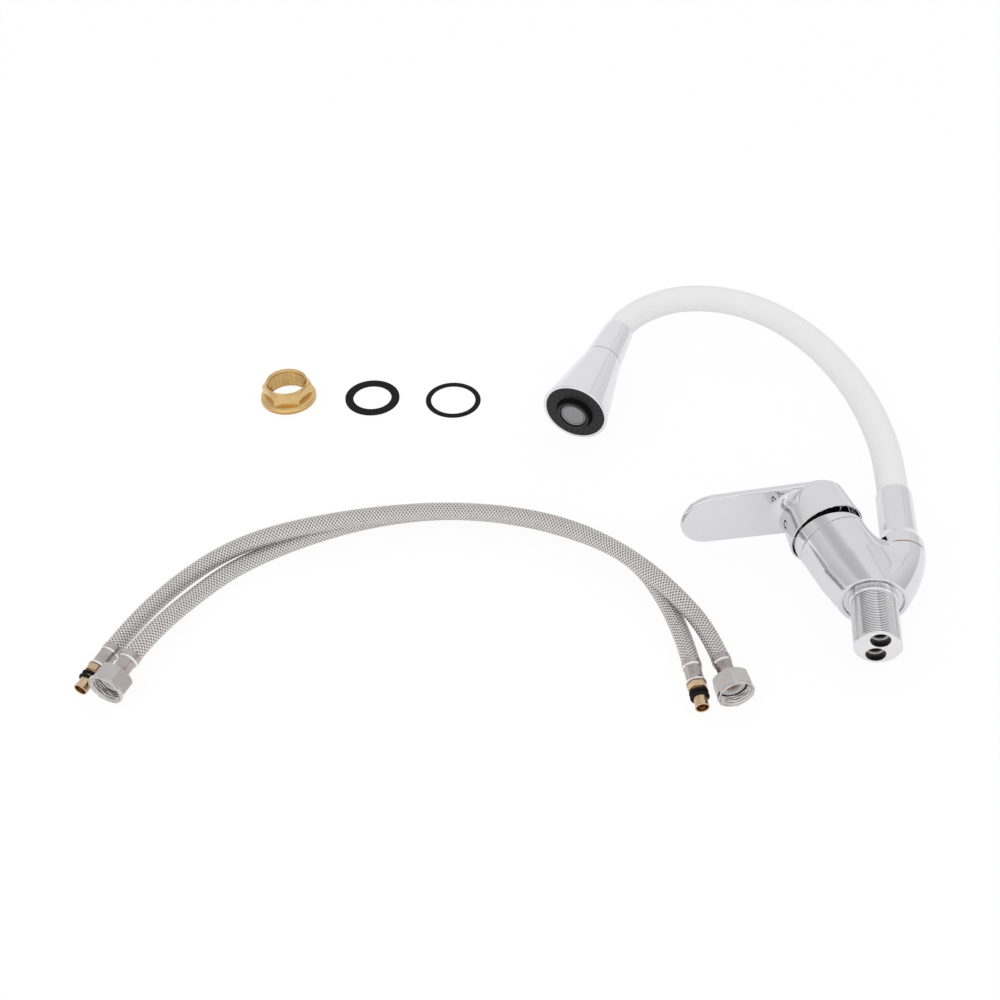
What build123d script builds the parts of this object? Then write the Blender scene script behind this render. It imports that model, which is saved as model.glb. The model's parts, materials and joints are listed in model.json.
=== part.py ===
from build123d import *
import os
from math import cos, radians, sin, tan

# Flexible spout kitchen mixer with its loose mounting parts and supply hoses, lying on one surface.
# Kit frame: Z is up from the surface, X and Y lie on it, and the mixer lies on its side.
# Mixer frame: X to the front (the handle's side), Z up along the spout sleeve, Y up as it lies.
# All sizes are in millimetres and degrees.

# Clearances
running_gap = 0.05
seat_gap = 0.1
seam_gap = 0.5

# Body casting
base_r = 24.6
elbow_root_r = 24.2
recess_r = 22.0
recess_depth = 2.0
arm_tilt = 26.0
arm_foot = 4.7
arm_r = 27.0
arm_start = 28.0
arm_top = 57.6
spigot_r = 24.9
spigot_height = 2.6
arm_bore_r = 20.5
arm_bore_floor = 22.0
scoop_clearance = 0.6
outlet_turn_height = 24.0
elbow_sections = ((20.0, 12.5, 21.5), (36.0, 20.2, 18.8))
outlet_back = 24.3
outlet_height = 50.0
outlet_r = 17.2
outlet_thread_depth = 14.0
outlet_passage_r = 6.0

# Threaded shank
shank_r = 16.5
shank_length = 42.2
shank_end_chamfer = 0.8
shank_seat = 9.0
shank_relief = 1.0
socket_spacing = 15.1
socket_mouth_r = 6.9
socket_mouth_depth = 4.0
socket_r = 4.6
socket_depth = 24.0
shank_passage_r = 4.1
supply_passage_r = 3.2

# Wedge ring and dust cover on top of the arm
ring_r = 27.2
ring_wall = 2.2
ring_centre = 64.6
ring_slant = 8.0
cover_wall = 1.6
cover_top = 67.2
cover_hole_r = 12.5
cover_chamfer = 1.5
cover_foot_wall = 2.8

# Cartridge
cartridge_r = 19.8
port_r = 3.5
port_centres = ((5.0, 7.5), (5.0, -7.5), (-8.0, 0.0))
seal_r = 5.2
seal_height = 1.2
base_thickness = 6.0
base_lift = 0.3
base_spigot = 2.1
housing_bore_r = 17.0
housing_height = 21.6
housing_top = 2.0
housing_neck_r = 14.6
housing_neck = 8.0
fixed_disc_r = 16.5
disc_thickness = 3.9
moving_disc_r = 12.6
moving_disc_pocket_r = 8.5
moving_disc_pocket = 2.2
carrier_height = 6.8
carrier_floor = 1.6
rotor_flange = 2.5
rotor_neck_r = 11.0
rotor_neck_rise = 4.5
rotor_play = 0.3
rotor_slot_half = 7.0
nut_thread_height = 7.5
nut_hex_height = 2.4
nut_hex_flats = 34.0

# Spindle
pivot_rise = 14.2
spindle_lean = 12.5
spindle_upper = 30.0
spindle_square = 8.0
spindle_root = 4.0
spindle_stem_r = 2.4
spindle_ball_r = 3.0
spindle_ball_seat = 5.1
pin_r = 1.5
pin_length = 20.0

# Lever handle
skirt_rise = 7.5
skirt_r = 29.6
skirt_slant = 4.2
skirt_allowance = 4.0
handle_tilt = 18.5
cap_top_r = 26.6
cap_height = 35.4
handle_wall = 1.8
cap_thickness = 4.4
paddle_thickness = 5.8
paddle_root_half = 26.3
paddle_tip_half = 24.5
paddle_reach = 106.7
paddle_top_edge = 2.4
paddle_low_edge = 1.2
paddle_root_fillet = 7.0
socket_boss_r = 8.0
socket_boss_start = 12.0
socket_boss_rise = 10.5
screw_height = 16.0
screw_r = 2.5
screw_length = 12.0
screw_boss_r = 5.0
screw_boss_start = 12.0
screw_boss_inset = 2.5
screw_hole_start = 8.0
screw_key_flats = 2.5
screw_key_depth = 3.0

# Outlet nipple, thrust ring and spout sleeve
nipple_r = 10.0
nipple_length = 28.0
groove_depth = 1.5
groove_width = 2.6
groove_heights = (10.0, 20.0)
thrust_ring_r = 16.2
thrust_ring = 0.8
collar_r = 17.3
collar_height = 2.4
collar_blend = 10.0
sleeve_r = 13.85
sleeve_top = 115.8
sleeve_web = 4.0
sleeve_edge = 1.0

# Spout hose and its end fittings
hose_r = 12.0
hose_bore_r = 5.5
tail_bore_r = 4.0
tail_flange = 2.0
tail_barb = 22.0
tail_root_r = 6.0
tail_barbs = 4
tail_barb_depth = 0.4
tail_barb_lead = 2.0

# Spray head, measured from its face towards the hose
head_rim_r = 29.0
head_rim_edge = 0.8
head_wall = 1.8
head_cone_height = 70.3
head_neck_r = 16.8
head_neck_height = 14.0
head_spigot_r = 11.0
head_collar_height = 42.5
head_collar_r = 13.8
head_web = 4.0
head_socket = 28.0
head_plate_lip = 1.5
head_plate_room = 0.5
head_spigot_gap = 1.0
plate_r = 26.1
plate_proud = 0.3
plate_thickness = 3.0
plate_boss_root_r = 14.8
plate_boss_r = 12.9
plate_boss_height = 3.4
aerator_r = 11.9
aerator_wall = 1.5
aerator_depth = 12.0
mesh_r = 11.4
mesh_thickness = 0.6
guide_r = 9.0
guide_bore_r = 6.0
guide_flange = 2.0
guide_flange_inset = 2.5
guide_wall = 2.0
guide_step = 4.0

# Loose mounting parts
lock_nut_flats = 38.6
lock_nut_height = 19.0
lock_nut_flange_r = 25.0
lock_nut_flange = 4.2
lock_nut_bore_r = 15.75
lock_nut_crown_r = 19.9
lock_nut_crown_slope = 2.2
lock_nut_crown_height = 3.2
lock_nut_edge = 0.8
lock_nut_rim = 1.4
lock_nut_mouth = 2.0
deck_gasket_r = 24.5
deck_gasket_width = 7.25
deck_gasket_thickness = 2.0
base_gasket_r = 24.85
base_gasket_width = 4.85
base_gasket_thickness = 1.6

# Supply hoses
supply_r = 6.5
supply_bore_r = 4.0
supply_barb_r = 3.9
supply_barb_bore_r = 2.9
supply_barb_length = 16.0
tip_r = 5.1
tip_bore_r = 4.0
tip_length = 7.6
oring_r = 6.9
oring_width = 2.5
oring_gap = 1.1
oring_seat = 0.9
oring_edge = 0.7
tip_recess = 0.3
tip_lead = 1.5
barb_end_room = 4.0
tail_hex_flats = 12.4
tail_hex_height = 5.0
ferrule_length = 20.0
ferrule_waist_r = 6.4
ferrule_lip_r = 7.3
ferrule_bulge_r = 7.3
ferrule_lip = 1.6
ferrule_slope = 1.2
ferrule_crest = 1.4
ferrule_end_step = 0.3
ferrule_grip = 5.6
union_flats = 24.0
union_rim_r = 13.4
union_rim = 3.2
union_rim_slope = 1.2
union_height = 14.8
union_bore_r = 9.4
union_back = 3.2
union_relief = 0.6
union_chamfer = 1.8
union_rim_edge = 0.9
union_corner_drop = 1.4
union_neck_r = 6.0
union_flange_r = 9.1
union_flange = 2.4
union_ferrule_length = 18.3
washer_bore_r = 5.5
washer_thickness = 2.0

# Places in the kit frame
kit_shift = (-0.27, 1.81)
mixer_place = (212.9, -171.2)
mixer_heading = 8.8
lying_height = skirt_r + 0.06
head_face_place = (8.0, 45.2)
head_heading = 22.9
head_pitch = 4.82
lock_nut_place = (-247.7, 101.6)
lock_nut_turn = 28.0
deck_gasket_place = (-171.7, 100.5)
base_gasket_place = (-98.3, 97.4)

# Centre line of the spout hose between the sleeve and the spray head
spout_route = (
    (261.8, 6.0, 30.2),
    (258.9, 50.0, 31.6),
    (248.0, 96.5, 33.9),
    (227.3, 141.0, 36.9),
    (196.5, 177.5, 39.6),
    (158.0, 198.0, 41.3),
    (119.0, 200.2, 41.6),
    (96.5, 192.8, 41.2),
    (77.4, 181.4, 40.6),
    (64.0, 168.8, 40.0),
)
spout_first_run = 30.0
spout_last_run = 8.0
spout_cut_index = (2, 6)

# Centre lines of the supply hoses between their end fittings
supply_a_tip = (-347.9, -232.2, 7.35)
supply_a_tip_heading = 21.1
supply_a_tip_run = 32.1
supply_a_route = (
    (-300.5, -133.5, 8.0),
    (-270.0, -107.8, 14.2),
    (-236.0, -94.0, 20.6),
    (-194.0, -80.2, 20.9),
    (-148.0, -68.8, 19.2),
    (-98.0, -62.9, 17.8),
    (-47.0, -67.8, 18.0),
    (-4.0, -82.0, 18.8),
    (30.0, -105.2, 20.2),
    (55.5, -131.5, 21.2),
    (76.0, -158.5, 20.0),
)
supply_a_union = (106.4, -241.0, union_rim_r)
supply_a_union_heading = -11.9
supply_a_union_run = 29.6
supply_b_union = (-328.3, -237.1, union_rim_r)
supply_b_union_heading = 21.8
supply_b_union_run = 26.5
supply_b_route = (
    (-286.5, -145.0, 7.4),
    (-257.0, -115.2, 6.7),
    (-213.0, -85.5, 6.6),
    (-161.0, -62.5, 6.6),
    (-103.0, -52.0, 6.6),
    (-45.0, -58.0, 6.6),
    (6.0, -76.5, 6.6),
    (42.0, -99.5, 6.6),
    (62.5, -131.0, 6.6),
)
supply_b_tip = (82.9, -247.5, 7.35)
supply_b_tip_heading = -4.7
supply_b_tip_run = 29.1


def placed(x, y, z=0.0):
    """Point of the layout moved so that the kit's box is centred on the origin."""
    return Vector(x + kit_shift[0], y + kit_shift[1], z)


# Cartridge stack along the arm, from the floor of its bore
base_low = arm_bore_floor + base_lift
base_high = base_low + base_thickness
housing_low = base_high + seat_gap
housing_high = housing_low + housing_height
fixed_low = base_high + base_spigot + seat_gap
moving_low = fixed_low + disc_thickness + running_gap
carrier_low = moving_low + disc_thickness + running_gap
rotor_low = carrier_low + carrier_height + seat_gap
pivot_height = rotor_low + pivot_rise
rotor_neck_top = pivot_height + rotor_neck_rise
spindle_lower = pivot_height - carrier_low - spindle_ball_seat
rotor_flange_high = rotor_low + rotor_flange
nut_low = housing_high + running_gap
nut_high = nut_low + nut_thread_height
spigot_top = arm_top + spigot_height
disc_offset = -spindle_lower * sin(radians(spindle_lean))

# Planes and directions
arm_x = (cos(radians(arm_tilt)), 0, -sin(radians(arm_tilt)))
arm_z = (sin(radians(arm_tilt)), 0, cos(radians(arm_tilt)))
arm_plane = Plane(origin=(0, 0, arm_foot), x_dir=arm_x, z_dir=arm_z)
handle_x = (cos(radians(handle_tilt)), 0, -sin(radians(handle_tilt)))
handle_z = (sin(radians(handle_tilt)), 0, cos(radians(handle_tilt)))
skirt_centre = pivot_height + skirt_rise
handle_plane = Plane(
    origin=arm_plane.from_local_coords((0, 0, skirt_centre)), x_dir=handle_x, z_dir=handle_z
)
pivot = arm_plane.from_local_coords((0, 0, pivot_height))
spindle_tilt = arm_tilt + spindle_lean
spindle_plane = Plane(
    origin=pivot,
    x_dir=(cos(radians(spindle_tilt)), 0, -sin(radians(spindle_tilt))),
    z_dir=(sin(radians(spindle_tilt)), 0, cos(radians(spindle_tilt))),
)
outlet_plane = Plane(origin=(-outlet_back, 0, outlet_height), x_dir=(1, 0, 0), z_dir=(0, 0, 1))
heading = radians(mixer_heading)
mixer_plane = Plane(
    origin=placed(*mixer_place, lying_height),
    x_dir=(-cos(heading), sin(heading), 0),
    z_dir=(sin(heading), cos(heading), 0),
)
head_axis = Vector(
    sin(radians(head_heading)) * cos(radians(head_pitch)),
    cos(radians(head_heading)) * cos(radians(head_pitch)),
    sin(radians(head_pitch)),
)
head_plane = Plane(
    origin=placed(*head_face_place, head_rim_r * cos(radians(head_pitch))),
    x_dir=(cos(radians(head_heading)), -sin(radians(head_heading)), 0),
    z_dir=head_axis,
)

# The shank is thinner where it sits in the body, so that the thread ends at the base
shank_root_r = shank_r - shank_relief

# Spout sleeve heights in the outlet frame
sleeve_low = thrust_ring + 2 * seat_gap
sleeve_high = sleeve_top - outlet_height
sleeve_web_low = nipple_length + 1.0
sleeve_web_high = sleeve_web_low + sleeve_web


def turned(*corners):
    """Solid of revolution about Z from (radius, height) corners."""
    return revolve(Plane.XZ * make_face(Polyline(*corners, close=True)), Axis.Z)


def bush(outer, inner, low, high):
    """Plain ring between two radii and two heights."""
    return turned((inner, low), (outer, low), (outer, high), (inner, high))


def rod(radius, low, high):
    """Plain round bar between two heights."""
    return turned((0, low), (radius, low), (radius, high), (0, high))


def hexagon(flats, low, high, turn=0.0):
    """Hexagonal bar between two heights, a corner on X."""
    outline = RegularPolygon(flats / 2, 6, major_radius=False, rotation=turn)
    return extrude(Pos(0, 0, low) * outline, high - low)


def bar_between(start, end, radius):
    """Round bar from one point to another."""
    start, end = Vector(*start), Vector(*end)
    return Plane(origin=start, z_dir=end - start) * rod(radius, 0, (end - start).length)


def supply_sides():
    """Side offsets of the two supply sockets."""
    return (socket_spacing / 2, -socket_spacing / 2)


def elbow():
    """Curved horn from the base up to the outlet boss."""
    sections = [Circle(elbow_root_r)]
    for height, back, radius in elbow_sections:
        sections.append(Pos(-back, 0, height) * Circle(radius))
    sections.append(Pos(-outlet_back, 0, outlet_height) * Circle(outlet_r))
    return loft(sections)


def body_casting():
    """Base, slanted cartridge arm and elbow in one casting, with its bores and waterways."""
    foot = loft([Circle(base_r), arm_plane.offset(arm_start) * Circle(arm_r)], ruled=True)
    arm = arm_plane * rod(arm_r, arm_start, arm_top)
    spigot = arm_plane * rod(spigot_r, arm_top - 1.0, spigot_top)
    body = foot + arm + elbow()
    body += spigot
    body -= outlet_plane * rod(collar_r + scoop_clearance, 0, sleeve_high)
    body -= rod(recess_r, -recess_depth, recess_depth)
    body -= rod(shank_root_r + running_gap, -recess_depth, shank_seat)
    body -= arm_plane * rod(arm_bore_r, arm_bore_floor, spigot_top + 1.0)
    body -= outlet_plane * rod(nipple_r + running_gap, -outlet_thread_depth, 1.0)
    for (port_x, port_y), side in zip(port_centres, supply_sides()):
        port = arm_plane.from_local_coords((port_x, port_y, arm_bore_floor + 1.0))
        body -= bar_between((0, side, shank_seat - 1.0), port, supply_passage_r)
    outlet_x, outlet_y = port_centres[2]
    port = arm_plane.from_local_coords((outlet_x, outlet_y, arm_bore_floor + 1.0))
    turn_point = outlet_plane.from_local_coords((0, 0, outlet_turn_height - outlet_height))
    body -= bar_between(port, turn_point, port_r)
    body -= outlet_plane * rod(outlet_passage_r, turn_point.Z - outlet_height, 0)
    return body


def threaded_shank():
    """Mounting shank with its two supply sockets; the thread itself is left to the finish."""
    shank = turned(
        (0, -shank_length),
        (shank_r - shank_end_chamfer, -shank_length),
        (shank_r, -shank_length + shank_end_chamfer),
        (shank_r, 0),
        (shank_root_r, 0),
        (shank_root_r, shank_seat - seat_gap),
        (0, shank_seat - seat_gap),
    )
    mouth_top = -shank_length + socket_mouth_depth
    for side in supply_sides():
        shank -= Pos(0, side, 0) * rod(shank_passage_r, -shank_length - 1, shank_seat)
        shank -= Pos(0, side, 0) * rod(socket_r, -shank_length - 1, mouth_top + socket_depth)
        shank -= Pos(0, side, 0) * rod(socket_mouth_r, -shank_length - 1, mouth_top)
    return shank


def wedge_ring():
    """Ring on the arm's spigot, higher at the front than at the rear."""
    ring = bush(ring_r, ring_r - ring_wall, arm_top, ring_centre + ring_r / 2)
    top = Pos(0, 0, ring_centre) * Rot(0, -ring_slant, 0) * rod(2 * ring_r, 0, ring_r)
    return arm_plane * (ring - top)


def dust_cover():
    """Dome that closes the gap under the handle, with a hole for the spindle."""
    outer = ring_r - ring_wall - seat_gap
    under = cover_top - cover_wall
    foot_r = housing_neck_r + cover_foot_wall
    low = spigot_top + running_gap
    cover = turned(
        (outer - cover_wall, low),
        (outer, low),
        (outer, cover_top - cover_chamfer),
        (outer - cover_chamfer, cover_top),
        (cover_hole_r, cover_top),
        (cover_hole_r, under),
        (foot_r - cover_wall, under),
        (foot_r - cover_wall, low),
        (foot_r, low),
        (foot_r, under),
        (outer - cover_wall, under),
    )
    return arm_plane * cover


def cartridge_nut():
    """Threaded ring nut that holds the cartridge down."""
    bore = housing_neck_r + seat_gap
    nut = bush(arm_bore_r - running_gap, bore, nut_low, nut_high)
    nut += hexagon(nut_hex_flats, nut_high, nut_high + nut_hex_height)
    nut -= rod(bore, nut_low, nut_high + nut_hex_height + 1)
    return arm_plane * nut


def cartridge_base():
    """Foot of the cartridge with two inlet ports, one outlet port and a seat for each seal."""
    base = rod(cartridge_r, base_low, base_high)
    base += rod(housing_bore_r - running_gap, base_high, base_high + base_spigot)
    for x, y in port_centres:
        base -= Pos(x, y, 0) * rod(port_r, base_low - 1, base_high + base_spigot + 1)
        base -= Pos(x, y, 0) * rod(seal_r, base_low - 1, arm_bore_floor + seal_height)
    return arm_plane * base


def cartridge_seals():
    """One seal round each port, between the cartridge and the floor of its bore."""
    rings = [
        Pos(x, y, 0) * bush(seal_r, port_r, arm_bore_floor, arm_bore_floor + seal_height)
        for x, y in port_centres
    ]
    return arm_plane * Compound(children=rings)


def cartridge_housing():
    """Cup over the discs with a neck that guides the rotor."""
    ceiling = housing_high - housing_top
    neck_bore = rotor_neck_r + running_gap
    housing = turned(
        (housing_bore_r, housing_low),
        (cartridge_r, housing_low),
        (cartridge_r, housing_high),
        (housing_neck_r, housing_high),
        (housing_neck_r, housing_high + housing_neck),
        (neck_bore, housing_high + housing_neck),
        (neck_bore, ceiling),
        (housing_bore_r, ceiling),
    )
    return arm_plane * housing


def fixed_disc():
    """Ceramic disc that stays on the base, with the three ports."""
    disc = rod(fixed_disc_r, fixed_low, fixed_low + disc_thickness)
    for x, y in port_centres:
        disc -= Pos(x, y, 0) * rod(port_r, fixed_low - 1, fixed_low + disc_thickness + 1)
    return arm_plane * disc


def moving_disc():
    """Ceramic disc that slides over the fixed one, with its mixing pocket below."""
    disc = rod(moving_disc_r, moving_low, moving_low + disc_thickness)
    disc -= rod(moving_disc_pocket_r, moving_low - 1, moving_low + moving_disc_pocket)
    return arm_plane * Pos(disc_offset, 0, 0) * disc


def disc_carrier():
    """Block on the moving disc with the socket that the spindle's ball drives."""
    high = carrier_low + carrier_height
    carrier = rod(moving_disc_r, carrier_low, high)
    carrier -= rod(spindle_ball_r + 2 * running_gap, carrier_low + carrier_floor, high + 1)
    return arm_plane * Pos(disc_offset, 0, 0) * carrier


def cartridge_rotor():
    """Turning part of the cartridge, slotted for the spindle's swing."""
    rotor = turned(
        (0, rotor_low),
        (housing_bore_r - rotor_play, rotor_low),
        (housing_bore_r - rotor_play, rotor_flange_high),
        (rotor_neck_r, rotor_flange_high),
        (rotor_neck_r, rotor_neck_top),
        (0, rotor_neck_top),
    )
    slot_wide = spindle_square + 4 * running_gap
    slot = Box(2 * rotor_slot_half, slot_wide, 4 * (rotor_neck_top - rotor_low))
    rotor -= Pos(0, 0, rotor_neck_top) * slot
    rotor -= Pos(0, 0, pivot_height) * Rot(90, 0, 0) * rod(pin_r, -pin_length / 2, pin_length / 2)
    return arm_plane * rotor


def pivot_pin():
    """Pin across the rotor that the spindle tilts on."""
    pin = Rot(90, 0, 0) * rod(pin_r, -pin_length / 2, pin_length / 2)
    return arm_plane * Pos(0, 0, pivot_height) * pin


def spindle():
    """Square stem with a ball at its lower end."""
    stem = rod(spindle_stem_r, -spindle_lower, 0)
    stem += Pos(0, 0, -spindle_lower) * Sphere(spindle_ball_r)
    long = spindle_upper + spindle_root
    stem += Pos(0, 0, long / 2 - spindle_root) * Box(spindle_square, spindle_square, long)
    stem -= Rot(90, 0, 0) * rod(pin_r + running_gap, -spindle_square, spindle_square)
    return spindle_plane * stem


def paddle_outline():
    """Plan of the paddle from the cap's axis to its round tip."""
    tip_centre = paddle_reach - paddle_tip_half
    sides = Polyline(
        (tip_centre, -paddle_tip_half),
        (0, -paddle_root_half),
        (0, paddle_root_half),
        (tip_centre, paddle_tip_half),
    )
    tip = ThreePointArc(
        (tip_centre, paddle_tip_half), (paddle_reach, 0), (tip_centre, -paddle_tip_half)
    )
    return make_face(sides + tip)


def edges_at(solid, height, near, far):
    """Level edges at one height whose middle lies between two distances in front of the axis."""
    found = []
    for edge in solid.edges():
        box = edge.bounding_box()
        level = abs(box.min.Z - height) < 0.01 and abs(box.max.Z - height) < 0.01
        if level and near < (edge @ 0.5).X <= far + 0.01:
            found.append(edge)
    return found


def lever_handle():
    """Cap and paddle in one casting, hollow under the cap, with the spindle socket inside."""
    taper = (skirt_r - cap_top_r) / cap_height
    low = -skirt_allowance
    cap = turned(
        (0, low), (skirt_r - taper * low, low), (cap_top_r, cap_height), (0, cap_height)
    )
    paddle = extrude(
        Pos(0, 0, cap_height - paddle_thickness) * paddle_outline(), paddle_thickness
    )
    handle = cap + paddle
    top = handle.faces().sort_by(Axis.Z)[-1]
    handle = fillet(top.edges(), paddle_top_edge)
    under = cap_height - paddle_thickness
    handle = fillet(edges_at(handle, under, 0, skirt_r), paddle_root_fillet)
    clear = skirt_r + paddle_root_fillet
    handle = fillet(edges_at(handle, under, clear, paddle_reach), paddle_low_edge)
    inner = skirt_r - handle_wall
    roof = cap_height - cap_thickness
    handle -= turned(
        (0, low - 1), (inner - taper * (low - 1), low - 1), (inner - taper * roof, roof), (0, roof)
    )
    local_spindle = Plane(
        origin=handle_plane.to_local_coords(pivot),
        x_dir=(cos(radians(spindle_tilt - handle_tilt)), 0, -sin(radians(spindle_tilt - handle_tilt))),
        z_dir=(sin(radians(spindle_tilt - handle_tilt)), 0, cos(radians(spindle_tilt - handle_tilt))),
    )
    handle += local_spindle * rod(
        socket_boss_r, socket_boss_start, spindle_upper + socket_boss_rise
    )
    screw_axis = Pos(0, 0, screw_height) * Rot(0, 90, 0)
    handle += screw_axis * rod(screw_boss_r, screw_boss_start, skirt_r - screw_boss_inset)
    socket = spindle_square + 2 * running_gap
    depth = spindle_upper + seat_gap
    handle -= local_spindle * Pos(0, 0, depth / 2) * Box(socket, socket, depth)
    handle -= screw_axis * rod(screw_r, screw_hole_start, skirt_r + 1)
    handle -= Rot(0, skirt_slant, 0) * rod(2 * skirt_r, -skirt_r, 0)
    return handle_plane * handle


def set_screw():
    """Grub screw that clamps the handle on the spindle."""
    along = screw_height - handle_plane.to_local_coords(pivot).Z
    lean = radians(spindle_tilt - handle_tilt)
    start = along * tan(lean) + handle_plane.to_local_coords(pivot).X
    start += (spindle_square / 2 + screw_r * sin(lean)) / cos(lean) + seat_gap
    screw = rod(screw_r - running_gap, start, start + screw_length)
    screw -= hexagon(screw_key_flats, start + screw_length - screw_key_depth, start + screw_length + 1)
    return handle_plane * Pos(0, 0, screw_height) * Rot(0, 90, 0) * screw


def outlet_nipple():
    """Fixed nipple that the sleeve turns on, with two grooves for its rings."""
    nipple = rod(nipple_r, -outlet_thread_depth, nipple_length)
    for height in groove_heights:
        nipple -= bush(nipple_r + 1, nipple_r - groove_depth, height, height + groove_width)
    nipple -= rod(outlet_passage_r, -outlet_thread_depth - 1, nipple_length + 1)
    return outlet_plane * nipple


def nipple_rings():
    """Sealing rings in the nipple's grooves."""
    rings = [
        bush(nipple_r, nipple_r - groove_depth, height, height + groove_width)
        for height in groove_heights
    ]
    return outlet_plane * Compound(children=rings)


def thrust_ring_piece():
    """Brass ring seen between the boss and the sleeve."""
    return outlet_plane * bush(
        thrust_ring_r, nipple_r + running_gap, seat_gap, seat_gap + thrust_ring
    )


def spout_sleeve():
    """Sleeve with a flared collar at the foot, a bore for the nipple and a socket for the hose."""
    blend = Spline(
        (collar_r, sleeve_low + collar_height),
        (sleeve_r, sleeve_low + collar_height + collar_blend),
        tangents=((0, 1), (0, 1)),
    )
    nipple_bore = nipple_r + running_gap
    socket_r_here = hose_r + running_gap
    edges = [
        Line((nipple_bore, sleeve_low), (collar_r, sleeve_low)),
        Line((collar_r, sleeve_low), (collar_r, sleeve_low + collar_height)),
        blend,
        Polyline(
            (sleeve_r, sleeve_low + collar_height + collar_blend),
            (sleeve_r, sleeve_high - sleeve_edge),
            (sleeve_r - sleeve_edge, sleeve_high),
            (socket_r_here, sleeve_high),
            (socket_r_here, sleeve_web_high),
            (tail_root_r + running_gap, sleeve_web_high),
            (tail_root_r + running_gap, sleeve_web_low),
            (nipple_bore, sleeve_web_low),
            (nipple_bore, sleeve_low),
        ),
    ]
    return outlet_plane * revolve(Plane.XZ * make_face(edges), Axis.Z)


def hose_tail(web):
    """Barbed tail that joins the spout hose to a fitting; Z runs into the hose from the web's top."""
    barb_r = hose_bore_r - running_gap
    corners = [
        (tail_bore_r, -web),
        (tail_root_r, -web),
        (tail_root_r, 0),
        (hose_r - 2 * seat_gap, 0),
        (hose_r - 2 * seat_gap, tail_flange),
    ]
    root_r = barb_r - tail_barb_depth
    corners += [(root_r, tail_flange)]
    pitch = (tail_barb - tail_barb_lead) / tail_barbs
    for step in range(tail_barbs):
        start = tail_flange + tail_barb_lead + step * pitch
        corners += [(root_r, start), (barb_r, start), (root_r, start + 0.8 * pitch)]
    corners += [(root_r, tail_flange + tail_barb), (tail_bore_r, tail_flange + tail_barb)]
    return turned(*corners)


def route_radii(points):
    """Largest arc radius that the runs beside each corner of a route allow."""
    radii = []
    for before, here, after in zip(points, points[1:], points[2:]):
        run_in, run_out = here - before, after - here
        turn = radians(run_in.get_angle(run_out))
        radii.append(0.45 * min(run_in.length, run_out.length) / tan(turn / 2))
    return radii


def route_wire(name, points):
    """Straight runs joined by tangent arcs through the points of a route."""
    radii = route_radii(points)
    print(name, "radii", [round(radius) for radius in radii])
    return FilletPolyline(*points, radius=radii)


def tube_along(wire, outer, bore):
    """Tube of constant section along a wire."""
    start = Plane(origin=wire @ 0, z_dir=wire % 0)
    return sweep(start * Circle(outer), path=wire) - sweep(start * Circle(bore), path=wire)


def spout_points():
    """Points of the spout hose from the sleeve's socket to the spray head's socket."""
    in_sleeve = outlet_plane.from_local_coords((0, 0, sleeve_web_high + tail_flange))
    start = mixer_plane.from_local_coords(in_sleeve)
    above = outlet_plane.from_local_coords((0, 0, sleeve_high + spout_first_run))
    first = mixer_plane.from_local_coords(above)
    head_top = head_cone_height + seam_gap + head_collar_height
    last = head_plane.from_local_coords((0, 0, head_top + spout_last_run))
    end = head_plane.from_local_coords((0, 0, head_top - head_socket + tail_flange))
    middle = [placed(*point) for point in spout_route]
    return [start, first] + middle + [last, end]


def spout_hose_spans():
    """The spout hose cut square in the middle of two runs, where it bends in use."""
    points = spout_points()
    radii = route_radii(points)
    print("spout hose radii", [round(radius) for radius in radii])
    cuts = [points[index + 1] * 0.5 + points[index + 2] * 0.5 for index in spout_cut_index]
    bounds = [0, spout_cut_index[0] + 2, spout_cut_index[1] + 2, len(points)]
    spans = []
    for number in range(3):
        corner_points = points[bounds[number]:bounds[number + 1]]
        corner_radii = radii[max(bounds[number] - 1, 0):bounds[number + 1] - 1]
        if number > 0:
            corner_points = [cuts[number - 1]] + corner_points
        if number < 2:
            corner_points = corner_points + [cuts[number]]
        wire = FilletPolyline(*corner_points, radius=corner_radii)
        tube = tube_along(wire, hose_r, hose_bore_r)
        print("spout span", number, round(wire.length, 1), round(tube.volume))
        spans.append(tube)
    print("spout cuts", [tuple(round(value, 3) for value in cut) for cut in cuts])
    return spans


def head_cone():
    """Bell of the spray head, hollow, with a neck that turns on the collar's spigot."""
    slope = (head_rim_r - head_neck_r) / head_cone_height
    neck_low = head_cone_height - head_neck_height
    spigot_bore = head_spigot_r + running_gap
    rim_seat = plate_r + running_gap
    inner_low = rim_seat - head_plate_lip
    corners = (
        (rim_seat, head_rim_edge / 3),
        (rim_seat + head_rim_edge, 0),
        (head_rim_r - head_rim_edge, 0),
        (head_rim_r - slope * head_rim_edge, head_rim_edge),
        (head_neck_r, head_cone_height),
        (spigot_bore, head_cone_height),
        (spigot_bore, neck_low),
        (head_rim_r - slope * neck_low - head_wall - head_plate_lip, neck_low),
        (inner_low, plate_thickness + head_plate_room),
        (rim_seat, plate_thickness + head_plate_room),
    )
    return turned(*corners)


def head_collar():
    """Collar that holds the hose, with the spigot that the cone turns on."""
    low = head_cone_height + seam_gap
    high = low + head_collar_height
    web_high = high - head_socket
    spigot_low = head_cone_height - head_neck_height + head_spigot_gap
    return turned(
        (tail_root_r + running_gap, spigot_low),
        (head_spigot_r, spigot_low),
        (head_spigot_r, low),
        (head_neck_r, low),
        (head_collar_r, high - sleeve_edge),
        (head_collar_r - sleeve_edge, high),
        (hose_r + running_gap, high),
        (hose_r + running_gap, web_high),
        (tail_root_r + running_gap, web_high),
    )


def nozzle_plate():
    """Black face of the spray head with the raised boss round the aerator."""
    face = -plate_proud
    return turned(
        (aerator_r + running_gap, face - plate_boss_height),
        (plate_boss_r, face - plate_boss_height),
        (plate_boss_root_r, face),
        (plate_r, face),
        (plate_r, plate_thickness),
        (aerator_r + running_gap, plate_thickness),
    )


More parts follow.
